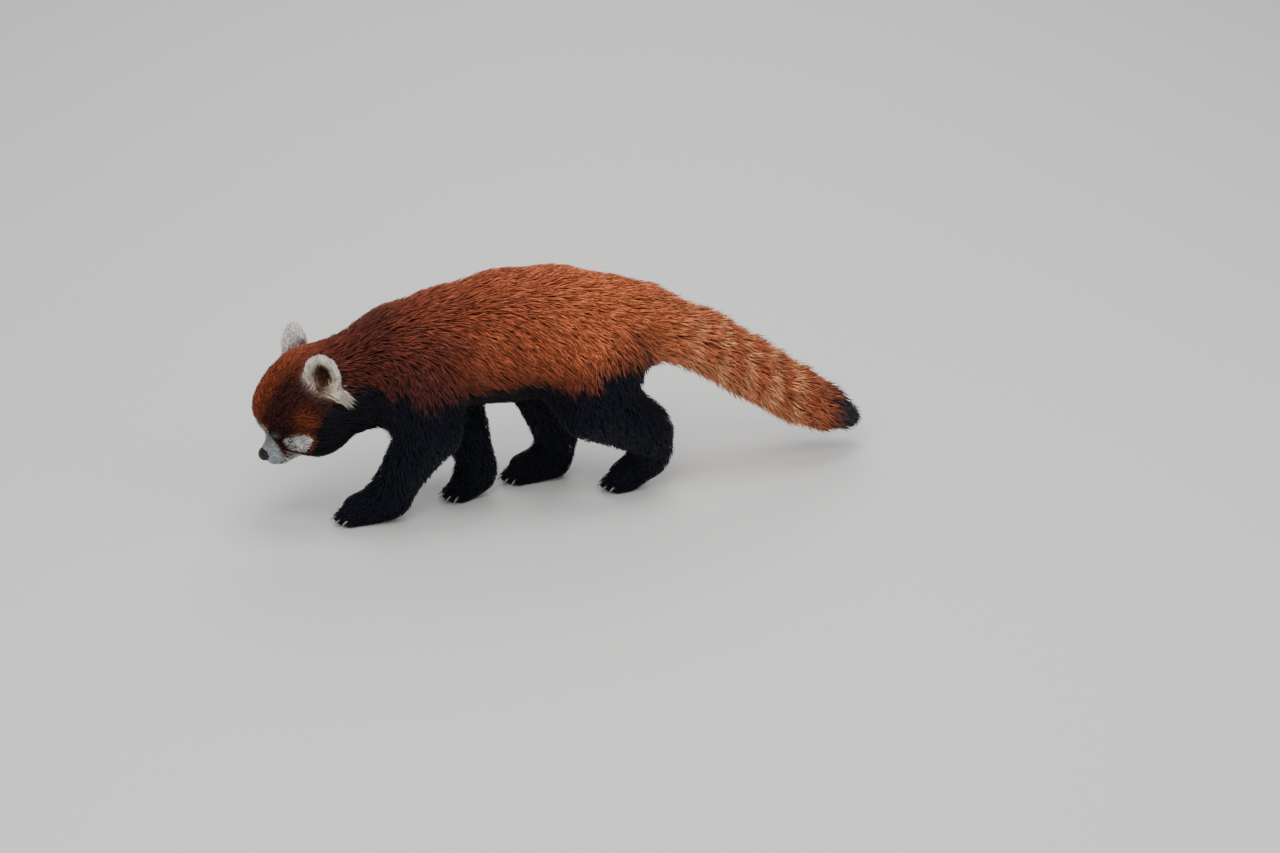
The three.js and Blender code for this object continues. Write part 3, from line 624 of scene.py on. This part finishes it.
def grow(start, lie, length, width, lift, depth, cling=1.0):
    n = normals(skinField, start)
    rows = []
    at = start.copy()
    done = 0.0
    for share, rise, wide in zip(tuftShape["shares"], tuftShape["rise"], tuftShape["widths"]):
        along = unitRows(lie - (lie * n).sum(1)[:, None] * n * cling)
        if share > 0:
            at = at + along * (length * (share - done))[:, None]
            g = slope(skinField, at, 0.4)
            size = np.maximum(np.linalg.norm(g, axis=1), 0.3)
            n = g / size[:, None]
            level = np.where(rise < 0, rise, depth * rise + lift * share ** 2)
            at = at + n * (cling * np.clip((level - skinField(at)) / size, -8, 8))[:, None]
        else:
            at = at + n * rise
        done = share
        across = np.cross(n, along)
        if wide == 0:
            rows.append(at[:, None, :])
            break
        half = across * (width * wide / 2)[:, None]
        ridge = n * (width * wide * tuftShape["ridge"])[:, None]
        rows.append(np.stack([at - half, at + half, at + ridge], 1))
    return np.concatenate(rows, 1)


def tuftObject(name, tufts, tipColour, rootColour, patches):
    count = len(tufts)
    base = (10 * np.arange(count))[:, None, None]
    quads = (base + np.array(tuftQuads)[None]).reshape(-1, 4)
    tris = (base + np.array(tuftTris)[None]).reshape(-1, 3)
    obj = addObject(name, tufts.reshape(-1, 3), [quads, tris])
    fade = np.repeat(tuftShape["fade"], (3, 3, 3, 1))
    colours = rootColour[:, None, :] + (tipColour - rootColour)[:, None, :] * fade[None, :, None]
    paintPoints(obj, colours.reshape(-1, 3))
    uv = (patches[:, None, :] + np.array(bakePatch["spots"]) * bakePatch["size"]).reshape(-1, 2)
    loops = np.empty(len(obj.data.loops), np.int32)
    obj.data.loops.foreach_get("vertex_index", loops)
    layer = obj.data.uv_layers.new(name="OFBake")
    layer.data.foreach_set("uv", uv[loops].astype(np.float32).ravel())
    return obj


# Unwraps of the skin's own shape: along and around the trunk, each leg, the tail, the head and each ear
bakePatch = {"size": 0.003, "spots": [(-0.5, 0), (0.5, 0), (0, 0.1), (-0.5, 0.4), (0.5, 0.4), (0, 0.5),
                                      (-0.4, 0.8), (0.4, 0.8), (0, 0.85), (0, 1)]}
spineLine = np.array([(s[0], s[2]) for s in body["neck"][:0:-1] + body["torso"]])


def around(a, b):
    return 0.5 + np.arctan2(a, b) / (2 * math.pi)


def inRect(u, v, k, n):
    return np.stack([(k + np.clip(0.04 + 0.92 * u, 0.02, 0.98)) / n, np.clip(0.02 + 0.95 * v, 0.01, 0.99)], 1)


def unwrapTrunk(p, q):
    return inRect((p[:, 0] + 300) / 480, around(p[:, 1], p[:, 2] - np.interp(p[:, 0], *spineLine.T)), 0, 1)


def unwrapTail(p, q):
    middle = np.interp(p[:, 0], tailLine[:, 0], tailLine[:, 2])
    return inRect((p[:, 0] - 90) / 310, around(p[:, 1], p[:, 2] - middle), 0, 1)


def unwrapHead(p, q):
    return inRect((q[:, 0] + 75) / 155, around(q[:, 2], q[:, 1]), 0, 1)


def unwrapEars(p, q):
    e = inEar(q)
    side = (q[:, 2] < 0).astype(int)
    outer = (e[:, 0] < 0).astype(int)
    return inRect((e[:, 1] + 34) / 68, (e[:, 2] + 30) / 60, 2 * side + outer, 4)


def unwrapLegs(p, q):
    best, out = np.full(len(p), 1e9), np.zeros((len(p), 2))
    for k, name in enumerate(body["legs"]):
        line = np.array(body["legs"][name] + body["paws"][name.replace("leg", "paw")], float)
        line = line[np.argsort(line[:, 2])]
        cx, cy = np.interp(p[:, 2], line[:, 2], line[:, 0]), np.interp(p[:, 2], line[:, 2], line[:, 1])
        d = np.hypot(p[:, 0] - cx, p[:, 1] - cy)
        rect = inRect(p[:, 2] / 230, around(p[:, 0] - cx, p[:, 1] - cy), k, 4)
        out[d < best] = rect[d < best]
        best = np.minimum(best, d)
    return out


# Each coat piece: the roots it takes, its unwrap and its material slot
x, y, z = roots.T
strongest = np.array(regions)[np.argmax([rootW[n] for n in regions], axis=0)]
isTrunk = np.isin(strongest, ("torso", "neck")) & (x < 112)
isTail = (strongest == "tail") | (np.isin(strongest, ("torso", "neck")) & (x >= 112))
isHead = np.isin(strongest, ("head", "muzzle"))
isLeg = strongest == "legs"
coatPieces = {
    "coatShoulders": (isTrunk & (x < -95), unwrapTrunk, "coat_red"),
    "coatMiddle": (isTrunk & (x >= -95) & (x < 5), unwrapTrunk, "coat_red"),
    "coatRump": (isTrunk & (x >= 5), unwrapTrunk, "coat_red"),
    "coatTailRoot": (isTail & (x < 235), unwrapTail, "coat_red"),
    "coatTailEnd": (isTail & (x >= 235), unwrapTail, "coat_red"),
    "coatForelegs": (isLeg & (x < -20), unwrapLegs, "coat_black"),
    "coatHindlegs": (isLeg & (x >= -20), unwrapLegs, "coat_black"),
    "coatPaws": (strongest == "paws", unwrapLegs, "coat_black"),
    "coatCrown": (isHead & (rootQ[:, 0] < 20), unwrapHead, "coat_red"),
    "coatFace": (isHead & (rootQ[:, 0] >= 20), unwrapHead, "coat_white"),
    "coatEars": (strongest == "ears", unwrapEars, "coat_white"),
}
# Marks are placed this far along the hair where they should show at its end, not at its root
markShare = {"coatFace": 0.75, "coatCrown": 0.6, "coatShoulders": 0.3, "coatMiddle": 0.3, "coatRump": 0.3}
# tip and root set the painted light on each tuft's tip and the painted shade at its root
growth = {"clump": 17, "clumpPull": 0.22, "stray": 0.16, "length": (0.7, 1.15), "width": (0.8, 1.25),
          "lift": (-0.4, 1.4), "depth": (0.75, 1.05), "earCling": 0.5, "contrast": 0.32, "patches": 0.18,
          "tip": 1.25, "root": 0.3, "least": 0.4, "most": 2.3, "floor": 0.3}
brush = {"pieces": ("coatTailEnd",), "x": (330, 380), "z": (-2, -1), "length": 6, "lift": 4}
thigh = {"pieces": ("coatHindlegs", "coatRump"), "x": (78, 104), "z": (96, 120), "length": 12, "lift": 5}
coats = []
for number, (name, (mask, unwrap, slot)) in enumerate(coatPieces.items()):
    rng = np.random.default_rng(100 + number)
    p, q, w = roots[mask], rootQ[mask], {n: v[mask] for n, v in rootW.items()}
    count = len(p)
    lie = unitRows(lieAt(p, q, w))
    clump = np.stack([wobble(p, growth["clump"], seed) for seed in (31, 32, 33)], 1)
    lie = lie + growth["clumpPull"] * clump + growth["stray"] * rng.normal(size=(count, 3))
    length = mixedOf(w, furLength) * rng.uniform(*growth["length"], count)
    width = mixedOf(w, furWidth) * rng.uniform(*growth["width"], count)
    lift = mixedOf(w, furLift)
    lift = lift * rng.uniform(*growth["lift"], count) + lift * wobble(p, 13, 41)
    depth = mixedOf(w, coatDepth) * rng.uniform(*growth["depth"], count)
    for longer in (brush, thigh):
        if name in longer["pieces"]:
            there = smooth(p[:, 0], *longer["x"]) * smooth(p[:, 2], *longer["z"])
            length = length + longer["length"] * there
            lift = lift + longer["lift"] * there
    tufts = grow(p, lie, length, width, lift, depth, growth["earCling"] if name == "coatEars" else 1.0)
    tufts[:, :, 2] = np.maximum(tufts[:, :, 2], growth["floor"])
    tips = mirrored(inHead(tufts[:, 9]))
    pupil = np.array(head["eye"]) + head["eyeRadius"] * unit(head["eyeLook"])
    seen = np.linalg.norm(tips - pupil, axis=1) > bare["lidTips"]
    p, q, w, tufts, count = p[seen], q[seen], {n: v[seen] for n, v in w.items()}, tufts[seen], seen.sum()
    if name in markShare:
        r = p + markShare[name] * (tufts[:, 9] - p)
        colour = regionColour(r, *surroundings(r))
    else:
        colour = regionColour(p, q, w)
    bright = 1 + growth["contrast"] * rng.normal(size=count) + growth["patches"] * wobble(p, 10, 51)
    # Tufts run from a root at 0.3 of the coat's colour to a tip at 1.25 of it: painted shade deep in the coat
    # and painted light on the tips
    tip = colour * np.clip(bright[:, None] * growth["tip"], growth["least"], growth["most"])
    coats.append((tuftObject(name, tufts, tip, colour * growth["root"], unwrap(p, q)), slot))
    print(name, count, "tufts")


# Long white tufts behind the ears, running down the neck to a point
earTuft = {"count": 300, "from": (-37, 29, 55), "to": (-47, -4, 61), "spread": (5, 4, 2), "gather": 2.6,
           "follow": 0.35, "length": (0.6, 1.0), "width": 1.5, "lift": (1, 6), "depth": 4.0,
           "bright": (0.9, 1.15)}
tuftRng = np.random.default_rng(61)
tuftStart, tuftGo = [], []
for side in (1, -1):
    off = tuftRng.normal(size=(earTuft["count"], 3)) * np.array(earTuft["spread"])
    begin = np.array(earTuft["from"], float) + off
    aim = np.array(earTuft["to"], float) + earTuft["follow"] * off
    aim = aim + earTuft["gather"] * tuftRng.normal(size=off.shape)
    for rows, store in ((begin, tuftStart), (aim, tuftGo)):
        rows[:, 2] *= side
        store.append(fromHead(rows))
tuftStart, tuftGo = np.concatenate(tuftStart), np.concatenate(tuftGo)
tuftStart = ontoLevel(skinField, tuftStart, 0.0, 3, 20)
tuftLength = np.linalg.norm(tuftGo - tuftStart, axis=1)
tuftLie = (tuftGo - tuftStart) / tuftLength[:, None]
tuftLength *= tuftRng.uniform(*earTuft["length"], len(tuftStart))
tuftCount = len(tuftStart)
longTufts = grow(tuftStart, tuftLie, tuftLength, np.full(tuftCount, earTuft["width"]),
                 tuftRng.uniform(*earTuft["lift"], tuftCount), np.full(tuftCount, earTuft["depth"]))
tuftTone = np.array([paint["white"] * 1.1, paint["cream"], paint["white"]])[tuftRng.integers(0, 3, tuftCount)]
tuftTip = tuftTone * tuftRng.uniform(*earTuft["bright"], tuftCount)[:, None]
earTufts = tuftObject("earTufts", longTufts, tuftTip, tuftTone * paint["cream"],
                      unwrapHead(tuftStart, inHead(tuftStart)))

# Eyes: a wet dark ball with a brown iris, and dark lids round it
eyeSettings = {"segments": 48, "rings": 32, "bulge": 0.10}


def sphereMesh(name, centre, radii, segments, rings, shape, axes):
    points, quads, tris = [], [], []
    for j in range(1, rings):
        a = math.pi * j / rings
        for i in range(segments):
            b = 2 * math.pi * i / segments
            points.append((math.cos(a), math.sin(a) * math.cos(b), math.sin(a) * math.sin(b)))
    points += [(1, 0, 0), (-1, 0, 0)]
    for j in range(rings - 2):
        for i in range(segments):
            k = (i + 1) % segments
            quads.append((j * segments + i, (j + 1) * segments + i, (j + 1) * segments + k, j * segments + k))
    last = (rings - 2) * segments
    for i in range(segments):
        k = (i + 1) % segments
        tris.append((len(points) - 2, i, k))
        tris.append((len(points) - 1, last + k, last + i))
    q = (shape(np.array(points)) * np.array(radii)) @ np.array(axes)
    return addObject(name, fromHead(np.array(centre) + q), [np.array(quads), np.array(tris)])


def lookAxes(look):
    a = unit(look)
    b = unit(np.cross(np.array([0, 1, 0]), a))
    return [a, np.cross(a, b), b]


def withCornea(q):
    front = np.maximum(q[:, 0], 0)
    return q * (1 + eyeSettings["bulge"] * smooth(front, 0.72, 1.0))[:, None]


eyes = []
for name, side in (("Left", 1), ("Right", -1)):
    f, u, l = head["eye"]
    axes = lookAxes((head["eyeLook"][0], head["eyeLook"][1], side * head["eyeLook"][2]))
    ball = sphereMesh("eye" + name, (f, u, side * l), (head["eyeRadius"],) * 3, eyeSettings["segments"],
                      eyeSettings["rings"], withCornea, axes)
    local = np.array([v.co for v in ball.data.vertices])
    tones = np.tile(tone(14, 9, 7), (len(local), 1))
    local = (local - shift) * 1000 - fromHead((f, u, side * l))
    forward = local @ (np.array(axes[0]) @ headAxes) / head["eyeRadius"]
    tones = mixed(tones, tone(62, 30, 14), smooth(forward, 0.70, 0.76) * (1 - smooth(forward, 0.86, 0.90)))
    paintPoints(ball, tones)
    eyes.append(ball)


# The lids' opening is an almond, in degrees from the line of sight
lid = {"steps": 48, "rows": 7, "across": 50, "upper": 19, "lower": 16, "reach": 84, "outer": 0.95,
       "inner": 0.12}


def eyeLids(name, side):
    f, u, l = head["eye"]
    axes = np.array(lookAxes((head["eyeLook"][0], head["eyeLook"][1], side * head["eyeLook"][2])))
    points, quads = [], []
    rows = 2 * lid["rows"]
    for k in range(lid["steps"]):
        t = 2 * math.pi * k / lid["steps"]
        tall = lid["upper"] if math.sin(t) > 0 else lid["lower"]
        edge = 1 / math.hypot(math.cos(t) / lid["across"], math.sin(t) / tall)
        for j in range(rows):
            outer = j < lid["rows"]
            share = (j if outer else rows - 1 - j) / (lid["rows"] - 1)
            a = math.radians(edge + (lid["reach"] - edge) * share ** 1.5)
            rim = 0.35 * math.exp(-(share / 0.18) ** 2)
            r = head["eyeRadius"] + (lid["outer"] + rim if outer else lid["inner"])
            points.append((r * math.cos(a), r * math.sin(a) * math.sin(t), r * math.sin(a) * math.cos(t)))
    for k in range(lid["steps"]):
        for j in range(rows):
            k2, j2 = (k + 1) % lid["steps"], (j + 1) % rows
            face = (k * rows + j, k * rows + j2, k2 * rows + j2, k2 * rows + j)
            quads.append(face if side > 0 else face[::-1])
    q = np.array(points) @ axes
    return addObject(name, fromHead(np.array([f, u, side * l]) + q), [np.array(quads)])


lids = [eyeLids("lidsLeft", 1), eyeLids("lidsRight", -1)]

# Nose: a rounded pad, wider at the top, with two nostrils and a groove below
noseSettings = {"at": (69, -16.6, 0), "radii": (8.6, 7.2, 10.6), "segments": 72, "rings": 48, "taper": 0.16,
                "nostril": (-0.10, 0.5), "nostrilDepth": 0.42, "slit": (-0.32, 0.74), "slitDepth": 0.10,
                "grooveDepth": 0.16}


def noseShape(q):
    out = q.copy()
    front = q[:, 0] > 0
    out[:, 2] *= 1 + noseSettings["taper"] * q[:, 1]
    for side in (1, -1):
        high, aside = q[:, 1] - noseSettings["nostril"][0], q[:, 2] - side * noseSettings["nostril"][1]
        near = np.exp(-((high / 0.26) ** 2 + (aside / 0.2) ** 2)) * front
        out[:, 0] -= noseSettings["nostrilDepth"] * near
        high, aside = q[:, 1] - noseSettings["slit"][0], np.abs(q[:, 2]) - noseSettings["slit"][1]
        slit = np.exp(-((high / 0.14) ** 2 + (aside / 0.22) ** 2)) * (q[:, 0] > -0.2)
        out -= noseSettings["slitDepth"] * slit[:, None] * q
    groove = np.exp(-(q[:, 2] / 0.09) ** 2) * smooth(-q[:, 1], -0.1, 0.5) * front
    out[:, 0] -= noseSettings["grooveDepth"] * groove
    return out


nose = sphereMesh("noseLeather", noseSettings["at"], noseSettings["radii"], noseSettings["segments"],
                  noseSettings["rings"], noseShape, np.eye(3))
print("eyes, lids and nose made")


# Node trees: one helper adds a node with its settings, the other joins sockets
def addNode(tree, kind, inputs=None, **settings):
    node = tree.nodes.new(kind)
    for key, value in settings.items():
        setattr(node, key, value)
    for key, value in (inputs or {}).items():
        node.inputs[key].default_value = value
    return node


def wire(tree, *joints):
    for source, out, target, into in joints:
        tree.links.new(source.outputs[out], target.inputs[into])


def newTree(name):
    tree = bpy.data.node_groups.new(name, "GeometryNodeTree")
    for way in ("INPUT", "OUTPUT"):
        tree.interface.new_socket("Geometry", in_out=way, socket_type="NodeSocketGeometry")
    return tree


def addInput(tree, name, kind, value):
    socket = tree.interface.new_socket(name, in_out="INPUT", socket_type=kind)
    socket.default_value = value
    return socket.identifier


taper = {"sides": 8, "scale": 0.001}  # thickness is given in millimetres


def taperTree(name, material):
    tree = newTree(name)
    sides = addInput(tree, "Sides", "NodeSocketInt", taper["sides"])
    scale = addInput(tree, "Scale", "NodeSocketFloat", taper["scale"])
    start, end = addNode(tree, "NodeGroupInput"), addNode(tree, "NodeGroupOutput")
    curve = addNode(tree, "GeometryNodeMeshToCurve")
    thickness = addNode(tree, "GeometryNodeInputNamedAttribute", {"Name": "thickness"}, data_type="FLOAT")
    sized = addNode(tree, "ShaderNodeMath", operation="MULTIPLY")
    radius = addNode(tree, "GeometryNodeSetCurveRadius")
    circle = addNode(tree, "GeometryNodeCurvePrimitiveCircle", {"Radius": 1.0})
    sweep = addNode(tree, "GeometryNodeCurveToMesh", {"Fill Caps": True})
    realize = addNode(tree, "GeometryNodeRealizeInstances")
    finish = addNode(tree, "GeometryNodeSetMaterial", {"Material": material})
    wire(tree, (start, "Geometry", curve, "Mesh"), (thickness, "Attribute", sized, 0),
         (start, "Scale", sized, 1), (curve, "Curve", radius, "Curve"), (sized, "Value", radius, "Radius"),
         (start, "Sides", circle, "Resolution"), (radius, "Curve", sweep, "Curve"),
         (circle, "Curve", sweep, "Profile Curve"), (sized, "Value", sweep, "Scale"),
         (sweep, "Mesh", realize, "Geometry"), (realize, "Geometry", finish, "Geometry"),
         (finish, "Geometry", end, "Geometry"))
    return tree, {sides: taper["sides"], scale: taper["scale"]}


def swept(name, paths, radii, material):  # tapering rods along the paths, as a plain mesh
    mesh = bpy.data.meshes.new(name + "Paths")
    edges, start = [], 0
    for path in paths:
        edges += [(start + i, start + i + 1) for i in range(len(path) - 1)]
        start += len(path)
    mesh.from_pydata([tuple(p) for p in toFrame(np.concatenate(paths))], edges, [])
    layer = mesh.attributes.new("thickness", "FLOAT", "POINT")
    layer.data.foreach_set("value", np.concatenate(radii).astype(np.float32))
    source = inScene(name + "Paths", mesh)
    modifier = source.modifiers.new("grow", "NODES")
    modifier.node_group, values = taperTree(name + "Shape", material)
    for identifier, value in values.items():
        modifier[identifier] = value
    bpy.context.view_layer.update()
    evaluated = source.evaluated_get(bpy.context.evaluated_depsgraph_get())
    obj = inScene(name, bpy.data.meshes.new_from_object(evaluated))
    bpy.data.objects.remove(source)
    return obj


# Materials: what is even over a surface is set on the shader itself
def shaderMaterial(name, values):
    material = bpy.data.materials.new(name)
    material.use_nodes = True
    tree = material.node_tree
    shader = tree.nodes["Principled BSDF"]
    for key, value in values.items():
        shader.inputs[key].default_value = value
    return material, tree, shader, addNode(tree, "ShaderNodeTexCoord")


def addRelief(tree, shader, height, out, strength, depth):
    bump = addNode(tree, "ShaderNodeBump", {"Strength": strength, "Distance": depth})
    wire(tree, (height, out, bump, "Height"), (bump, "Normal", shader, "Normal"))


def furMaterial(name, roughness, sheen, tint, specular, relief=0.0):
    material, tree, shader, coords = shaderMaterial(name, {
        "Roughness": roughness, "Sheen Weight": sheen, "Sheen Roughness": 0.5, "Sheen Tint": (*tint, 1),
        "Specular IOR Level": specular})
    marks = addNode(tree, "ShaderNodeAttribute", attribute_name="coat")
    noise = addNode(tree, "ShaderNodeTexNoise", {"Scale": 900, "Detail": 3})
    grain = addNode(tree, "ShaderNodeMapRange", {"To Min": 0.78, "To Max": 1.22})
    mix = addNode(tree, "ShaderNodeMix", data_type="RGBA", blend_type="MULTIPLY")
    mix.inputs["Factor"].default_value = 1
    wire(tree, (coords, "Object", noise, "Vector"), (noise, "Fac", grain, "Value"), (marks, "Color", mix, 6),
         (grain, "Result", mix, 7), (mix, 2, shader, "Base Color"))
    if relief:
        addRelief(tree, shader, noise, "Fac", relief, 0.001)
    return material


def speckledMaterial(name, scale, dark, light, values):
    material, tree, shader, coords = shaderMaterial(name, values)
    noise = addNode(tree, "ShaderNodeTexNoise", {"Scale": scale})
    ramp = addNode(tree, "ShaderNodeValToRGB")
    for stop, tint in zip(ramp.color_ramp.elements, (dark, light)):
        stop.color = (*tint, 1)
    wire(tree, (coords, "Object", noise, "Vector"), (noise, "Fac", ramp, "Fac"),
         (ramp, "Color", shader, "Base Color"))
    return material, tree, shader, coords


furFinish = furMaterial("softFur", 0.55, 0.02, (1.0, 0.75, 0.5), 0.2)
darkFinish = furMaterial("blackFur", 0.5, 0.03, (0.5, 0.6, 1.0), 0.18)
skinFinish = furMaterial("underCoat", 0.85, 0.0, (1, 1, 1), 0.2, 0.6)
noseFinish, tree, shader, coords = speckledMaterial(
    "noseLeather", 250, (0.004, 0.004, 0.004), (0.016, 0.014, 0.016),
    {"Roughness": 0.42, "Specular IOR Level": 0.25})
pebbles = addNode(tree, "ShaderNodeTexVoronoi", {"Scale": 1500})
wire(tree, (coords, "Object", pebbles, "Vector"))
addRelief(tree, shader, pebbles, "Distance", 0.5, 0.0004)
eyeFinish, tree, shader, coords = shaderMaterial(
    "wetEye", {"Roughness": 0.06, "Coat Weight": 0.15, "Coat Roughness": 0.02})
wire(tree, (addNode(tree, "ShaderNodeAttribute", attribute_name="coat"), "Color", shader, "Base Color"))
lidFinish = speckledMaterial("lidSkin", 700, (0.010, 0.004, 0.003), (0.035, 0.013, 0.007),
                             {"Roughness": 0.6, "Specular IOR Level": 0.2})[0]
clawFinish = speckledMaterial("clawHorn", 400, (0.15, 0.12, 0.10), (0.36, 0.31, 0.26), {"Roughness": 0.35})[0]
whiskerFinish = speckledMaterial("whisker", 60, (0.45, 0.42, 0.38), (0.8, 0.77, 0.72), {"Roughness": 0.4})[0]
print("materials made")

# The line of the mouth: two dark lips that meet under the nose and run back to its corners
lips = {"steps": 26, "front": 62, "corner": 30, "height": -31.5, "rise": 0.12, "from": 56, "half": (4, 28),
        "radius": 0.9, "level": 0.7}
lipPath = []
for share in np.linspace(-1, 1, 2 * lips["steps"] + 1):
    f = lips["front"] - (lips["front"] - lips["corner"]) * abs(share) ** 1.5
    height = lips["height"] + max(0, lips["from"] - f) * lips["rise"]
    aside = lips["half"][0] + (lips["half"][1] - lips["half"][0]) * abs(share)
    lipPath.append(fromHead((f, height, aside if share >= 0 else -aside)))
lipPath = ontoLevel(skinField, np.array(lipPath), lips["level"], 4, 30)
lipTaper = lips["radius"] * (1 - 0.75 * np.abs(np.linspace(-1, 1, len(lipPath))) ** 3)
lipLine = swept("lips", [lipPath], [lipTaper], lidFinish)

# Claws
claws = {"length": 12, "radius": 1.7, "points": 9, "droop": 0.9, "tilt": 0.15, "sunk": 3.5, "raise": 1.0,
         "low": 1.2, "tip": 0.12}
clawPaths, clawRadii = [], []
for line in body["paws"].values():
    for centre, facing in toeCentres(line):
        go, down = np.array([math.cos(facing), math.sin(facing), 0]), np.array([0, 0, -1.0])
        at = centre + go * (toes["radii"][0] - claws["sunk"]) - down * claws["raise"]
        path, angle = [], claws["tilt"]
        for _ in range(claws["points"]):
            path.append(at)
            at = at + (go * math.cos(angle) + down * math.sin(angle)) * claws["length"] / claws["points"]
            angle += claws["droop"] / claws["points"]
        path = np.array(path)
        path[:, 2] = np.maximum(path[:, 2], claws["low"])
        clawPaths.append(path)
        clawRadii.append(claws["radius"] * np.linspace(1, claws["tip"], claws["points"]) ** 0.7)
clawSet = swept("claws", clawPaths, clawRadii, clawFinish)

# Whiskers on the upper lips
whiskers = {"rows": 4, "each": 5, "length": (24, 42), "radius": 0.16, "points": 10}
whiskerRng = np.random.default_rng(71)
whiskerPaths, whiskerRadii = [], []
for side in (1, -1):
    for row in range(whiskers["rows"]):
        for i in range(whiskers["each"]):
            spot = fromHead((60 - 4.2 * i, -20 - 3.2 * row + 0.8 * i, side * (12 + 0.8 * i)))[None]
            spot = ontoLevel(skinField, spot, -0.8, 4, 20)[0]
            go = np.array([-0.35 - 0.1 * i, -0.12 - 0.12 * row, side * 1.0])
            go = unit((go + 0.08 * whiskerRng.normal(size=3)) @ headAxes)
            size = whiskerRng.uniform(*whiskers["length"])
            s = np.linspace(0, 1, whiskers["points"])[:, None]
            path = spot + go * size * s + np.array([0.25 * size, 0, -0.22 * size]) * s ** 2
            whiskerPaths.append(path)
            whiskerRadii.append(whiskers["radius"] * (1 - 0.85 * s[:, 0]))
whiskerSet = swept("whiskers", whiskerPaths, whiskerRadii, whiskerFinish)
print("lips, claws and whiskers made")


def finishWith(obj, material):
    obj.data.materials.clear()
    obj.data.materials.append(material)


flesh = ["head", "neck", "torso", "tail", "tail_tip", "ear_left", "ear_right"]
flesh += list(body["legs"]) + list(body["paws"])
finishWith(skin, skinFinish)
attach(skin, "root")
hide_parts(*flesh)
for coat, slot in coats + [(earTufts, "coat_white")]:
    finishWith(coat, darkFinish if slot == "coat_black" else furFinish)
    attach(coat, "root")
for piece, node in zip(eyes, ("eye_left", "eye_right")):
    finishWith(piece, eyeFinish)
    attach(piece, "root")
    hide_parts(node)
for piece in lids + [lipLine]:
    finishWith(piece, lidFinish)
    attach(piece, "root")
finishWith(nose, noseFinish)
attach(nose, "root")
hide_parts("nose")
for piece in (clawSet, whiskerSet):
    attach(piece, "root")

# Camera as in the photo
camera = {"azimuth": -15, "elevation": 25, "lens": 100, "sensor": 36, "scale": 1.17, "target": (0, -20, 150),
          "targetPixel": (545, 385), "image": (1280, 853)}
az, el = math.radians(camera["azimuth"]), math.radians(camera["elevation"])
back = np.array([math.sin(az) * math.cos(el), -math.cos(az) * math.cos(el), math.sin(el)])
right = np.array([math.cos(az), math.sin(az), 0])
up = np.cross(back, right)
distance = camera["scale"] * camera["lens"] * camera["image"][0] / camera["sensor"]
dx = (camera["targetPixel"][0] - camera["image"][0] / 2) * camera["scale"]
dy = (camera["targetPixel"][1] - camera["image"][1] / 2) * camera["scale"]
place = np.array(camera["target"], float) + back * distance - right * dx + up * dy
cameraData = bpy.data.cameras.new("camera")
cameraData.lens = camera["lens"]
cameraData.sensor_width = camera["sensor"]
cameraObject = inScene("camera", cameraData)
turnMatrix = Matrix((Vector(right), Vector(up), Vector(back))).transposed().to_4x4()
cameraObject.matrix_world = Matrix.Translation(Vector(toFrame(place))) @ turnMatrix
cameraData.clip_end = 100
bpy.context.scene.camera = cameraObject

# Floor and studio light
floorMesh = bpy.data.meshes.new("floor")
floorMesh.from_pydata([(-9, -9, 0), (9, -9, 0), (9, 9, 0), (-9, 9, 0)], [], [(0, 1, 2, 3)])
floor = inScene("floor", floorMesh)
finishWith(floor, shaderMaterial("paleFloor", {"Base Color": (0.62, 0.61, 0.59, 1), "Roughness": 0.9})[0])
world = bpy.context.scene.world or bpy.data.worlds.new("world")
bpy.context.scene.world = world
world.use_nodes = True
background = world.node_tree.nodes["Background"]
background.inputs["Color"].default_value = (0.92, 0.95, 1.0, 1)
background.inputs["Strength"].default_value = 0.48
studio = {"key": ((-0.9, -1.6, 2.2), 1.6, 46), "fill": ((1.8, -1.4, 1.4), 2.0, 16),
          "rim": ((0.6, 2.0, 1.9), 1.8, 30), "top": ((0.1, -0.1, 2.6), 1.2, 34)}  # place, size, power
for name, (where, size, power) in studio.items():
    lightData = bpy.data.lights.new(name, "AREA")
    lightData.energy = power
    lightData.size = size
    light = inScene(name, lightData)
    light.location = where
    light.rotation_euler = (Vector((0, 0, 0.12)) - Vector(where)).to_track_quat("-Z", "Y").to_euler()
print("camera and lights set")
